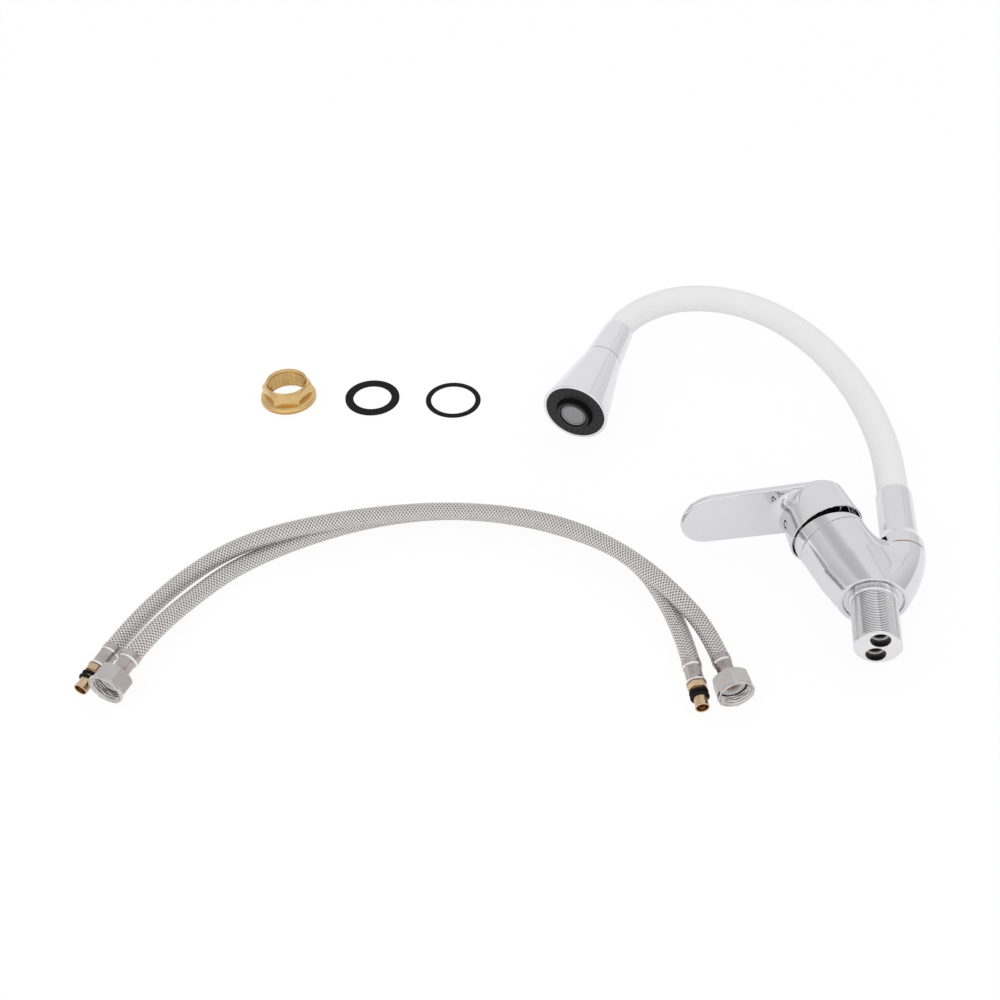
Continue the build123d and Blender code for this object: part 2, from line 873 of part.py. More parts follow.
def aerator_housing():
    """Cup that carries the aerator mesh."""
    front = -plate_proud - plate_boss_height
    return turned(
        (mesh_r + running_gap, front),
        (aerator_r, front),
        (aerator_r, front + aerator_depth),
        (aerator_r - aerator_wall, front + aerator_depth),
        (aerator_r - aerator_wall, front + mesh_thickness + running_gap),
        (mesh_r + running_gap, front + mesh_thickness + running_gap),
    )


def aerator_mesh():
    """Round screen at the mouth of the aerator."""
    front = -plate_proud - plate_boss_height
    return rod(mesh_r, front, front + mesh_thickness)


def water_guide():
    """Tube that leads the water from the collar to the nozzle plate and the aerator."""
    low = plate_thickness + seat_gap
    neck_low = head_cone_height - head_neck_height
    aerator_end = aerator_depth - plate_proud - plate_boss_height
    flange_r = plate_r - guide_flange_inset
    high = aerator_end + guide_wall + head_spigot_gap
    top = neck_low + head_spigot_gap - seat_gap
    return turned(
        (aerator_r + seat_gap, low),
        (flange_r, low),
        (flange_r, low + guide_flange),
        (aerator_r + guide_wall, low + guide_flange),
        (aerator_r + guide_wall, high),
        (guide_r, high + guide_step),
        (guide_r, top),
        (guide_bore_r, top),
        (guide_bore_r, high + guide_step / 2),
        (aerator_r + seat_gap, high - guide_step / 2),
    )


def lock_nut():
    """Flanged hexagonal nut with a crowned top."""
    crown = turned(
        (0, 0),
        (lock_nut_flange_r, 0),
        (lock_nut_flange_r, lock_nut_height - lock_nut_crown_height - lock_nut_edge),
        (lock_nut_crown_r + lock_nut_crown_slope, lock_nut_height - lock_nut_crown_height),
        (lock_nut_crown_r, lock_nut_height - lock_nut_edge),
        (lock_nut_crown_r - lock_nut_edge, lock_nut_height),
        (0, lock_nut_height),
    )
    nut = hexagon(lock_nut_flats, 0, lock_nut_height, 30) & crown
    nut += turned(
        (0, 0),
        (lock_nut_flange_r - lock_nut_edge, 0),
        (lock_nut_flange_r, lock_nut_edge),
        (lock_nut_flange_r, lock_nut_flange - lock_nut_rim),
        (lock_nut_flange_r - lock_nut_rim, lock_nut_flange),
        (0, lock_nut_flange),
    )
    bore = turned(
        (0, -1),
        (lock_nut_bore_r + lock_nut_mouth, -1),
        (lock_nut_bore_r + lock_nut_mouth, 0),
        (lock_nut_bore_r, lock_nut_mouth),
        (lock_nut_bore_r, lock_nut_height - lock_nut_mouth),
        (lock_nut_bore_r + lock_nut_mouth, lock_nut_height),
        (lock_nut_bore_r + lock_nut_mouth, lock_nut_height + 1),
        (0, lock_nut_height + 1),
    )
    return nut - bore


def deck_gasket():
    """Flat ring for the underside of the deck."""
    return bush(deck_gasket_r, deck_gasket_r - deck_gasket_width, 0, deck_gasket_thickness)


def base_ring_gasket():
    """Thin ring with rounded edges for the groove under the base."""
    edge = base_gasket_thickness / 3
    bore_r = base_gasket_r - base_gasket_width
    return turned(
        (bore_r, edge),
        (bore_r + edge, 0),
        (base_gasket_r - edge, 0),
        (base_gasket_r, edge),
        (base_gasket_r, base_gasket_thickness - edge),
        (base_gasket_r - edge, base_gasket_thickness),
        (bore_r + edge, base_gasket_thickness),
        (bore_r, base_gasket_thickness - edge),
    )


# The supply fittings are modelled with Z from their open end towards the hose
oring_low = tip_length + tip_recess
hex_low = oring_low + 2 * oring_width + 2 * oring_gap
hex_high = hex_low + tail_hex_height
tip_ferrule_low = hex_high + seat_gap
tip_ferrule_high = tip_ferrule_low + ferrule_length
union_ferrule_low = union_height + 3 * seat_gap
union_ferrule_high = union_ferrule_low + union_ferrule_length
flange_high = union_height - union_back - seat_gap
union_thread_high = flange_high - union_flange - washer_thickness


def push_tail():
    """Brass tail with a tube tip, two ring seats, a hexagon and the barb inside the hose."""
    barb_high = tip_ferrule_high - ferrule_grip + supply_barb_length - barb_end_room
    tail = turned(
        (tip_bore_r, 0),
        (tip_r, 0),
        (tip_r - tip_recess, tip_lead),
        (tip_r - tip_recess, tip_length - tip_lead / 2),
        (tip_r, tip_length),
        (tip_r, oring_low),
        (tip_r - oring_seat, oring_low),
        (tip_r - oring_seat, oring_low + oring_width),
        (tip_r, oring_low + oring_width),
        (tip_r, oring_low + oring_width + oring_gap),
        (tip_r - oring_seat, oring_low + oring_width + oring_gap),
        (tip_r - oring_seat, oring_low + 2 * oring_width + oring_gap),
        (tip_r, oring_low + 2 * oring_width + oring_gap),
        (tip_r, hex_high),
        (supply_barb_r, hex_high),
        (supply_barb_r, barb_high),
        (supply_barb_bore_r, barb_high),
        (supply_barb_bore_r, tip_length),
        (tip_bore_r, tip_length - tip_lead),
    )
    hexagon_body = hexagon(tail_hex_flats, hex_low, hex_high) - rod(tip_r - 1, hex_low - 1, hex_high + 1)
    return tail + hexagon_body


def tail_rings():
    """Two sealing rings on the brass tail."""
    rings = []
    for step in range(2):
        low = oring_low + step * (oring_width + oring_gap)
        rings.append(
            turned(
                (tip_r - oring_seat, low),
                (oring_r - oring_edge, low),
                (oring_r, low + oring_edge),
                (oring_r, low + oring_width - oring_edge),
                (oring_r - oring_edge, low + oring_width),
                (tip_r - oring_seat, low + oring_width),
            )
        )
    return Compound(children=rings)


def ferrule(low, high, lip):
    """Crimped sleeve over the end of a hose; the lip flares at the fitting's side."""
    grip_low = high - ferrule_grip
    barb_bore = supply_barb_r + running_gap
    corners = [(barb_bore, low)]
    if lip:
        corners += [
            (ferrule_lip_r, low),
            (ferrule_lip_r, low + ferrule_lip),
            (ferrule_waist_r, low + ferrule_lip + ferrule_slope),
        ]
    else:
        corners += [(ferrule_waist_r, low)]
    corners += [
        (ferrule_waist_r, grip_low - ferrule_slope),
        (ferrule_bulge_r, grip_low + ferrule_slope / 2),
        (ferrule_bulge_r, grip_low + ferrule_slope / 2 + ferrule_crest),
        (ferrule_bulge_r - ferrule_end_step, grip_low + ferrule_slope + ferrule_crest),
        (ferrule_bulge_r - ferrule_end_step, high),
        (supply_r, high),
        (supply_r, grip_low),
        (barb_bore, grip_low),
    ]
    return turned(*corners)


def union_nut():
    """Hexagonal union nut with a round rim, open at one end."""
    corner = union_flats / 2 / cos(radians(30))
    shape = turned(
        (0, 0),
        (union_rim_r - union_rim_edge, 0),
        (union_rim_r, union_rim_edge),
        (union_rim_r, union_rim),
        (corner + seat_gap, union_rim + union_corner_drop),
        (corner + seat_gap, union_height - union_corner_drop),
        (corner - union_corner_drop, union_height),
        (0, union_height),
    )
    rim = turned(
        (0, 0),
        (union_rim_r - union_rim_edge, 0),
        (union_rim_r, union_rim_edge),
        (union_rim_r, union_rim - union_rim_slope),
        (union_flats / 2, union_rim),
        (0, union_rim),
    )
    nut = (hexagon(union_flats, 0, union_height) & shape) + rim
    nut -= rod(union_bore_r, -1, union_thread_high)
    nut -= rod(union_bore_r + union_relief, union_thread_high, union_height - union_back)
    nut -= turned(
        (0, -1),
        (union_bore_r + union_chamfer, -1),
        (union_bore_r + union_chamfer, union_chamfer / 4),
        (union_bore_r, union_chamfer),
        (0, union_chamfer),
    )
    nut -= rod(union_neck_r + running_gap, 0, union_height + 1)
    return nut


def union_tail():
    """Flanged tail inside the union nut, with the barb inside the hose."""
    barb_high = union_ferrule_high - ferrule_grip + supply_barb_length - barb_end_room
    return turned(
        (supply_barb_bore_r, flange_high - union_flange),
        (union_flange_r, flange_high - union_flange),
        (union_flange_r, flange_high),
        (union_neck_r, flange_high),
        (union_neck_r, union_ferrule_low - seat_gap),
        (supply_barb_r, union_ferrule_low - seat_gap),
        (supply_barb_r, barb_high),
        (supply_barb_bore_r, barb_high),
    )


def union_washer():
    """Flat washer on the flange inside the union nut."""
    high = flange_high - union_flange
    return bush(union_flange_r, washer_bore_r, high - washer_thickness, high)


def fitting_plane(place, turn):
    """Plane at the open end of a fitting, Z towards the hose, X level."""
    direction = Vector(sin(radians(turn)), cos(radians(turn)), 0)
    across = Vector(direction.Y, -direction.X, 0)
    return Plane(origin=placed(*place), x_dir=across, z_dir=direction)


def supply_hose(letter, tip_plane, tip_run, union_plane, union_run, route):
    """All pieces of one braided supply hose; its route runs from left to right."""
    in_tip = tip_ferrule_high - ferrule_grip
    in_union = union_ferrule_high - ferrule_grip
    tip_end = [tip_plane.from_local_coords((0, 0, along)) for along in (in_tip, in_tip + tip_run)]
    union_end = [
        union_plane.from_local_coords((0, 0, along)) for along in (in_union, in_union + union_run)
    ]
    left, right = sorted((tip_end, union_end), key=lambda end: end[0].X)
    middle = [placed(*point) for point in route]
    wire = route_wire("supply hose " + letter, left + middle + right[::-1])
    tube = tube_along(wire, supply_r, supply_bore_r)
    print("supply hose", letter, "length", round(wire.length, 1), "volume", round(tube.volume))
    name = "supply_" + letter + "_"
    return {
        name + "hose": tube,
        name + "tail": tip_plane * push_tail(),
        name + "tail_rings": tip_plane * tail_rings(),
        name + "tail_ferrule": tip_plane * ferrule(tip_ferrule_low, tip_ferrule_high, True),
        name + "union_nut": union_plane * union_nut(),
        name + "union_tail": union_plane * union_tail(),
        name + "union_washer": union_plane * union_washer(),
        name + "union_ferrule": union_plane * ferrule(union_ferrule_low, union_ferrule_high, False),
    }


def mixer_pieces():
    """Pieces of the mixer up to the spout sleeve, in the mixer's own frame."""
    return {
        "body_casting": body_casting(),
        "threaded_shank": threaded_shank(),
        "wedge_ring": wedge_ring(),
        "dust_cover": dust_cover(),
        "cartridge_nut": cartridge_nut(),
        "cartridge_base": cartridge_base(),
        "cartridge_seals": cartridge_seals(),
        "cartridge_housing": cartridge_housing(),
        "fixed_disc": fixed_disc(),
        "moving_disc": moving_disc(),
        "disc_carrier": disc_carrier(),
        "cartridge_rotor": cartridge_rotor(),
        "pivot_pin": pivot_pin(),
        "spindle": spindle(),
        "lever_handle": lever_handle(),
        "set_screw": set_screw(),
        "outlet_nipple": outlet_nipple(),
        "nipple_rings": nipple_rings(),
        "thrust_ring": thrust_ring_piece(),
        "spout_sleeve": spout_sleeve(),
        "sleeve_hose_tail": outlet_plane * Pos(0, 0, sleeve_web_high) * hose_tail(sleeve_web),
    }


def head_pieces():
    """Pieces of the spray head, in its own frame."""
    socket_floor = head_cone_height + seam_gap + head_collar_height - head_socket
    return {
        "head_collar": head_collar(),
        "head_hose_tail": Pos(0, 0, socket_floor) * hose_tail(head_web),
        "head_cone": head_cone(),
        "nozzle_plate": nozzle_plate(),
        "aerator_housing": aerator_housing(),
        "aerator_mesh": aerator_mesh(),
        "water_guide": water_guide(),
    }


def loose_pieces():
    """Nut and gaskets that lie beside the mixer."""
    return {
        "lock_nut": Pos(placed(*lock_nut_place)) * Rot(0, 0, lock_nut_turn) * lock_nut(),
        "deck_gasket": Pos(placed(*deck_gasket_place)) * deck_gasket(),
        "base_ring_gasket": Pos(placed(*base_gasket_place)) * base_ring_gasket(),
    }


def all_pieces():
    """Every piece of the kit in the kit frame."""
    pieces = {name: mixer_plane * shape for name, shape in mixer_pieces().items()}
    pieces |= {name: head_plane * shape for name, shape in head_pieces().items()}
    names = ("spout_hose_lower", "spout_hose_middle", "spout_hose_upper")
    pieces |= dict(zip(names, spout_hose_spans()))
    pieces |= loose_pieces()
    pieces |= supply_hose(
        "a",
        fitting_plane(supply_a_tip, supply_a_tip_heading),
        supply_a_tip_run,
        fitting_plane(supply_a_union, supply_a_union_heading),
        supply_a_union_run,
        supply_a_route,
    )
    pieces |= supply_hose(
        "b",
        fitting_plane(supply_b_tip, supply_b_tip_heading),
        supply_b_tip_run,
        fitting_plane(supply_b_union, supply_b_union_heading),
        supply_b_union_run,
        supply_b_route,
    )
    return pieces


os.makedirs("parts", exist_ok=True)
for node, shape in all_pieces().items():
    export_step(shape, "parts/" + node + ".step")
    print(node, round(shape.volume))
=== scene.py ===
import json
import math
import bpy
import bmesh
import numpy as np
from mathutils import Matrix, Vector
from mathutils.geometry import tessellate_polygon


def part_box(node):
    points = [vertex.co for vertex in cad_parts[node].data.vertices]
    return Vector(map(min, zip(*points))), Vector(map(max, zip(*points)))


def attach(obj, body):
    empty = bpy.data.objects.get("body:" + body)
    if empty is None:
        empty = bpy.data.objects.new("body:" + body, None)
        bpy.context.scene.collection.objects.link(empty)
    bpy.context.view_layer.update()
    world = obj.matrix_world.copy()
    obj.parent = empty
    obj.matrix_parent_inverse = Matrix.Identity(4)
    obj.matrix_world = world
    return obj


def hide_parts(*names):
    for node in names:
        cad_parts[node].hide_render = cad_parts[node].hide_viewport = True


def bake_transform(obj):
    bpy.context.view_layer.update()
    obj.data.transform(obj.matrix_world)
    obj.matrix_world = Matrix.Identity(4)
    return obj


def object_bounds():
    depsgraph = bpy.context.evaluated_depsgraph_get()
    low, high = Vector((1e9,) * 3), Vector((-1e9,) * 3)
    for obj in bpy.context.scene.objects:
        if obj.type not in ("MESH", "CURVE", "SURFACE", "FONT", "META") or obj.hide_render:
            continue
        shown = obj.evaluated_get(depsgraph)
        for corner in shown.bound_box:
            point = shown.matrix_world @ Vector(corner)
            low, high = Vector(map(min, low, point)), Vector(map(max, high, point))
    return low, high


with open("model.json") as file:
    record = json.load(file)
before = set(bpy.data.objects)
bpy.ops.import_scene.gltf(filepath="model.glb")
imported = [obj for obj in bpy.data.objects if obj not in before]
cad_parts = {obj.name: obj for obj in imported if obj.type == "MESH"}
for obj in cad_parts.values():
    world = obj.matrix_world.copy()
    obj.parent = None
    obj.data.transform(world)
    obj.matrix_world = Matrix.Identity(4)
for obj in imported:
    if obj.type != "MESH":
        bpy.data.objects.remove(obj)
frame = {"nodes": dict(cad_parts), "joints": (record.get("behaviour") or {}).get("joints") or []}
cadLow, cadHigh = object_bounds()
joints = {joint["name"]: joint for joint in frame["joints"]}
mm = 0.001
up = Vector((0, 0, 1))
finished = {}  # every new piece by name


# Places: each local frame has Z along its own axis, and shapes in it are in millimetres

def placeMatrix(origin, zAxis, upHint=up):
    zAxis = Vector(zAxis).normalized()
    xAxis = Vector(upHint).cross(zAxis).normalized()
    turn = Matrix((xAxis, zAxis.cross(xAxis), zAxis)).transposed()
    return Matrix.Translation(Vector(origin)) @ turn.to_4x4() @ Matrix.Scale(mm, 4)


def jointPlace(name, back=0.0):
    joint = joints[name]
    origin = Vector(joint["pos_m"]) - Vector(joint["axis"]) * back * mm
    return placeMatrix(origin, joint["axis"])


def shifted(place, x=0.0, y=0.0, z=0.0, turnY=0.0):
    return place @ Matrix.Translation((x, y, z)) @ Matrix.Rotation(math.radians(turnY), 4, "Y")


layout = {
    "outletBack": 24.3, "outletHeight": 50.0,
    "armFoot": 4.7, "armTilt": 26.0,
    "handleHeight": 67.0, "handleTilt": 18.5,
    "headSeam": 70.3, "swivelJoint": 10.0, "unionJoint": 7.4,
}
outletPlace = jointPlace("spout_swivel", layout["swivelJoint"])
mixerPlace = shifted(outletPlace, layout["outletBack"], 0, -layout["outletHeight"])
armPlace = shifted(mixerPlace, z=layout["armFoot"], turnY=layout["armTilt"])
handlePlace = shifted(
    shifted(armPlace, z=layout["handleHeight"]), turnY=layout["handleTilt"] - layout["armTilt"]
)
headPlace = jointPlace("head_twist", layout["headSeam"])


# Camera, at the photograph's angle

cameraSetup = {"place": (-0.05627, -0.7207, 0.6573), "pitch": 43.63, "lens": 41.61, "sensor": 36.0}
cameraData = bpy.data.cameras.new("camera")
cameraData.lens = cameraSetup["lens"]
cameraData.sensor_width = cameraSetup["sensor"]
cameraData.clip_start, cameraData.clip_end = 0.01, 20
camera = bpy.data.objects.new("camera", cameraData)
camera.location = cameraSetup["place"]
camera.rotation_euler = (math.radians(90 - cameraSetup["pitch"]), 0, 0)
bpy.context.scene.collection.objects.link(camera)
bpy.context.scene.camera = camera
print("camera ready")


# Node maths: a socket with Python's operators

class Value:
    def __init__(self, nodes, socket):
        self.nodes, self.socket = nodes, socket

    def maths(self, operation, *others):
        made = self.nodes.add("ShaderNodeMath", {"operation": operation}, dict(enumerate((self,) + others)))
        return Value(self.nodes, made.outputs[0])

    def reflected(self, operation, other):
        made = self.nodes.add("ShaderNodeMath", {"operation": operation}, {0: other, 1: self})
        return Value(self.nodes, made.outputs[0])

    def __add__(self, other):
        return self.maths("ADD", other)

    def __radd__(self, other):
        return self.reflected("ADD", other)

    def __sub__(self, other):
        return self.maths("SUBTRACT", other)

    def __rsub__(self, other):
        return self.reflected("SUBTRACT", other)

    def __mul__(self, other):
        return self.maths("MULTIPLY", other)

    def __rmul__(self, other):
        return self.reflected("MULTIPLY", other)

    def __truediv__(self, other):
        return self.maths("DIVIDE", other)

    def __gt__(self, other):
        return self.maths("GREATER_THAN", other)

    def __lt__(self, other):
        return self.maths("LESS_THAN", other)

    def sine(self):
        return self.maths("SINE")

    def root(self):
        return self.maths("SQRT")

    def larger(self, other):
        return self.maths("MAXIMUM", other)

    def part(self):
        return self.maths("FRACT")

    def size(self):
        return self.maths("ABSOLUTE")

    def clamped(self, low, high):
        return self.maths("MAXIMUM", low).maths("MINIMUM", high)


class Nodes:
    def __init__(self, tree):
        self.tree = tree

    def add(self, kind, settings=None, inputs=None):
        node = self.tree.nodes.new(kind)
        for name, value in (settings or {}).items():
            if name == "stops":
                while len(node.color_ramp.elements) < len(value):
                    node.color_ramp.elements.new(1.0)
                for element, (position, colour) in zip(node.color_ramp.elements, value):
                    element.position, element.color = position, (*colour, 1.0)
            else:
                setattr(node, name, value)
        for key, value in (inputs or {}).items():
            self.connect(node.inputs[key], value)
        return node

    def connect(self, socket, value):
        if isinstance(value, Value):
            value = value.socket
        if isinstance(value, bpy.types.NodeSocket):
            self.tree.links.new(value, socket)
        else:
            socket.default_value = value

    def value(self, node, output=0):
        return Value(self, node.outputs[output])

    def mixColour(self, factor, first, second):
        node = self.add("ShaderNodeMix", {"data_type": "RGBA"}, {0: factor, 6: first, 7: second})
        return node.outputs[2]

    def noise(self, vector, scale, detail=2.0, roughness=0.5):
        inputs = {"Vector": vector, "Scale": scale, "Detail": detail, "Roughness": roughness}
        return self.value(self.add("ShaderNodeTexNoise", {}, inputs))


def rgba(red, green, blue):
    return (red, green, blue, 1.0)


class Finish(Nodes):
    # a Principled material whose varying inputs are linked and whose plain ones are set on it
    def __init__(self, name, **plain):
        self.material = bpy.data.materials.new(name)
        self.material.use_nodes = True
        super().__init__(self.material.node_tree)
        self.shader = self.tree.nodes["Principled BSDF"]
        self.coordinates = self.tree.nodes.new("ShaderNodeTexCoord")
        self.place = self.coordinates.outputs["Object"]
        self.set(**{key.replace("_", " "): value for key, value in plain.items()})

    def set(self, **inputs):
        for name, value in inputs.items():
            self.connect(self.shader.inputs[name], value)

    def bump(self, height, strength, distance):
        inputs = {"Height": height, "Strength": strength, "Distance": distance}
        self.set(Normal=self.add("ShaderNodeBump", {}, inputs).outputs["Normal"])

    def stretched(self, x, y, z):
        node = self.add("ShaderNodeMapping", {}, {"Vector": self.place, "Scale": (x, y, z)})
        return node.outputs["Vector"]


def platedFinish(name, colour, smear, roughness, ripple):
    # polished plate with faint smears in the gloss and the slow ripple of a buffed surface
    finish = Finish(name, Metallic=1.0)
    cloud = finish.noise(finish.place, 55.0, 3.0)
    speck = finish.noise(finish.place, 700.0, 2.0)
    finish.set(**{"Base Color": finish.mixColour(cloud, rgba(*colour), rgba(*smear))})
    finish.set(Roughness=roughness + cloud * 0.03 + (speck > 0.68) * 0.03)
    finish.bump(finish.noise(finish.place, 38.0, 1.0), ripple, 0.0006)
    return finish.material


def machinedFinish(name, light, dark, roughness, grain=900.0, metallic=1.0):
    # turned or milled metal: fine scratches and a slow change of tone
    finish = Finish(name, Metallic=metallic)
    tone = finish.noise(finish.place, 120.0, 3.0)
    lines = finish.noise(finish.stretched(1.0, 1.0, 3.5), grain, 2.0, 0.6)
    colour = finish.mixColour((tone * 1.4 - 0.2).clamped(0.0, 1.0), rgba(*light), rgba(*dark))
    finish.set(**{"Base Color": colour})
    finish.set(Roughness=roughness + lines * 0.10 + tone * 0.04)
    finish.bump(lines, 0.06, 0.0002)
    return finish.material


def mouldedFinish(name, light, dark, roughness, grain, relief, **plain):
    # plastic or rubber with a fine moulded grain
    finish = Finish(name, **plain)
    pores = finish.noise(finish.place, grain, 3.0, 0.6)
    tone = finish.noise(finish.place, 40.0, 2.0)
    finish.set(**{"Base Color": finish.mixColour(tone, rgba(*light), rgba(*dark))})
    finish.set(Roughness=roughness + pores * 0.12)
    finish.bump(pores, relief, 0.0003)
    return finish.material


braidSetup = {
    "strands": 11, "lead": 28.9, "wires": 5.0, "relief": 0.40, "sag": 0.18, "rows": 1480, "around": 66,
    # the crest colour is a painted highlight, the dull colour painted shade on the flanks and the gap colour painted
    # shade between the strands
    "crestHighlight": (0.97, 0.95, 0.94), "dull": (0.47, 0.44, 0.43), "gap": (0.03, 0.025, 0.023),
}


def braidFinish(name):
    # the same crossing strands as the mesh, with their single wires; the UV map runs along and round
    finish = Finish(name, Metallic=1.0)
    uv = finish.add("ShaderNodeUVMap", {"uv_map": "braid"})
    split = finish.add("ShaderNodeSeparateXYZ", {}, {0: uv.outputs[0]})
    along, around = finish.value(split, 0), finish.value(split, 1)
    first = (around - along) * braidSetup["strands"]
    second = (around + along) * braidSetup["strands"]
    over = (first * math.pi).sine() * (second * math.pi).sine()
    archFirst = 1 - (first.part() * 2 - 1).size()
    archSecond = 1 - (second.part() * 2 - 1).size()
    heightFirst = archFirst.root() + over * 0.5
    heightSecond = archSecond.root() - over * 0.5
    firstOnTop = heightFirst > heightSecond
    wireAngle = 2 * math.pi * braidSetup["wires"]
    wire = (first * wireAngle).sine() * firstOnTop + (second * wireAngle).sine() * (1 - firstOnTop)
    crest = heightFirst.larger(heightSecond)
    cover = archFirst.larger(archSecond)
    # painted highlight on the strand crests and painted shade on their flanks, with a random tone
    tone = (crest * 0.95 + wire * 0.12 + finish.noise(finish.place, 420.0) * 0.4 - 0.58).clamped(0.0, 1.0)
    metal = finish.mixColour(tone, rgba(*braidSetup["dull"]), rgba(*braidSetup["crestHighlight"]))
    # painted shade: the dark gap colour where neither strand covers
    solid = ((cover - 0.24) * 4.5).clamped(0.0, 1.0)
    finish.set(**{"Base Color": finish.mixColour(solid, rgba(*braidSetup["gap"]), metal)})
    finish.set(Roughness=0.22 - wire * 0.04)
    finish.bump(crest * 0.8 + wire * 0.12, 1.0, 0.0004)
    return finish.material


chrome = platedFinish("chrome", (0.77, 0.765, 0.79), (0.745, 0.74, 0.765), 0.04, 0.012)
chromeOnPlastic = platedFinish("chrome on plastic", (0.835, 0.83, 0.86), (0.81, 0.805, 0.835), 0.05, 0.02)
threadChrome = machinedFinish("plated thread", (0.84, 0.835, 0.85), (0.76, 0.755, 0.77), 0.08, 1500.0)
brass = machinedFinish("machined brass", (0.77, 0.545, 0.26), (0.67, 0.44, 0.18), 0.09)
tailBrass = machinedFinish("turned brass", (0.74, 0.57, 0.39), (0.58, 0.40, 0.23), 0.12, 1800.0)
nickel = machinedFinish("satin nickel", (0.70, 0.665, 0.66), (0.56, 0.525, 0.52), 0.15, 1400.0)
steel = machinedFinish("crimped steel", (0.58, 0.535, 0.52), (0.36, 0.32, 0.305), 0.12, 1600.0)
screenSteel = machinedFinish("screen steel", (0.40, 0.395, 0.405), (0.33, 0.325, 0.335), 0.42, 2500.0, 0.4)
# darker metal for the shank's thread roots: dirt and painted shade
grooveDirtAndShade = machinedFinish("thread groove", (0.17, 0.165, 0.17), (0.11, 0.107, 0.11), 0.30, 1500.0, 0.9)
# painted shade: darker brass for the thread roots inside the nut
nutGrooveShade = machinedFinish("brass groove painted shade", (0.72, 0.49, 0.19), (0.58, 0.37, 0.12), 0.20, 1500.0, 0.9)
# painted shade: deeper orange brass for the low band of the nut's flange rim
rimShadeBrass = machinedFinish("shaded brass rim", (0.66, 0.38, 0.12), (0.52, 0.27, 0.07), 0.12, 1500.0)
# painted highlight: near-white steel for the crisp edges of the ferrules
edgeHighlightSteel = machinedFinish("steel edge painted highlight", (0.97, 0.95, 0.94), (0.86, 0.83, 0.82), 0.10, 1600.0)
# painted shade: a dark colour for the shadowed walls of the shank's sockets
socketWallShade = machinedFinish("socket wall painted shade", (0.15, 0.120, 0.105), (0.055, 0.043, 0.036), 0.28, 1500.0, 0.9)
# painted light: a pale, mostly matt colour for the shadowed step at the foot of each socket
socketStepLight = machinedFinish("socket step painted light", (0.88, 0.86, 0.85), (0.74, 0.72, 0.70), 0.5, 1500.0, 0.2)
blackPlastic = mouldedFinish(
    "black plastic", (0.020, 0.019, 0.020), (0.013, 0.0125, 0.013), 0.42, 900.0, 0.08, Specular_IOR_Level=0.3
)
blackRubber = mouldedFinish(
    "black rubber", (0.009, 0.009, 0.009), (0.005, 0.005, 0.005), 0.6, 1400.0, 0.15, Specular_IOR_Level=0.15
)
# painted shade: a near-black, almost matt plastic put in gaps, holes and side walls where shade falls
shadedPlastic = mouldedFinish(
    "black plastic painted shade", (0.006, 0.006, 0.006), (0.004, 0.004, 0.004), 0.7, 900.0, 0.08, Specular_IOR_Level=0.05
)
silicone = mouldedFinish(
    "white silicone", (0.80, 0.795, 0.80), (0.785, 0.78, 0.785), 0.5, 600.0, 0.05, Specular_IOR_Level=0.35
)
cartridgePlastic = mouldedFinish("cartridge plastic", (0.72, 0.72, 0.70), (0.66, 0.66, 0.64), 0.4, 700.0, 0.05)
ceramic = mouldedFinish("lapped ceramic", (0.88, 0.87, 0.84), (0.84, 0.83, 0.80), 0.12, 400.0, 0.02)
greyFibre = mouldedFinish("grey fibre", (0.62, 0.61, 0.60), (0.50, 0.49, 0.48), 0.6, 1600.0, 0.2)
steelBraid = braidFinish("steel braid")
print("finishes ready")


# Mesh helpers

class Shape:
    # gathers grids of points and loose faces, then becomes one object
    def __init__(self):
        self.points, self.faces = [], []

    def grid(self, rows, closed=True):
        # rows of points; neighbouring rows are joined, and each row closes on itself
        rows = np.asarray(rows, float)
        start = sum(len(block) for block in self.points)
        count, width = rows.shape[:2]
        self.points.append(rows.reshape(-1, 3))
        for row in range(count - 1):
            for column in range(width if closed else width - 1):
                following = (column + 1) % width
                low, high = start + row * width, start + (row + 1) * width
                self.faces.append((low + column, low + following, high + following, high + column))
        return start

    def fan(self, ring, centre):
        start = sum(len(block) for block in self.points)
        self.points.append(np.vstack([np.asarray(ring, float), [centre]]))
        count = len(ring)
        self.faces += [(start + i, start + (i + 1) % count, start + count) for i in range(count)]

    def plate(self, outline, holes):
        # flat face with holes, all as lists of points
        loops = [[Vector(point) for point in loop] for loop in (outline, *holes)]
        start = sum(len(block) for block in self.points)
        self.points.append(np.array([list(point) for loop in loops for point in loop]))
        self.faces += [tuple(start + index for index in face) for face in tessellate_polygon(loops)]

    def toMesh(self, name, dropSlivers):
        mesh = bpy.data.meshes.new(name)
        mesh.from_pydata(np.vstack(self.points).tolist(), [], self.faces)
        work = bmesh.new()
        work.from_mesh(mesh)
        bmesh.ops.remove_doubles(work, verts=work.verts, dist=1e-4)
        if dropSlivers:
            bmesh.ops.dissolve_degenerate(work, edges=work.edges, dist=1e-5)
        bmesh.ops.recalc_face_normals(work, faces=work.faces)
        work.to_mesh(mesh)
        work.free()
        return mesh

    def toObject(self, name, place, material, angle=32.0, weighted=True):
        mesh = self.toMesh(name, True)
        mesh.transform(place)
        mesh.shade_smooth()
        mesh.set_sharp_from_angle(angle=math.radians(angle))
        made = link(name, mesh, material)
        if weighted:
            modifier = made.modifiers.new("weighted normals", "WEIGHTED_NORMAL")
            modifier.keep_sharp = True
        return made


def link(name, mesh, material):
    made = bpy.data.objects.new(name, mesh)
    mesh.materials.clear()
    mesh.materials.append(material)
    bpy.context.scene.collection.objects.link(made)
    finished[name] = made
    return made


def paintFaces(made, place, pick, *materials):
    # more materials, on the faces that pick chooses by their centres in the place's own frame
    for material in materials:
        made.data.materials.append(material)
    back = place.inverted()
    for face in made.data.polygons:
        face.material_index = pick(back @ face.center)


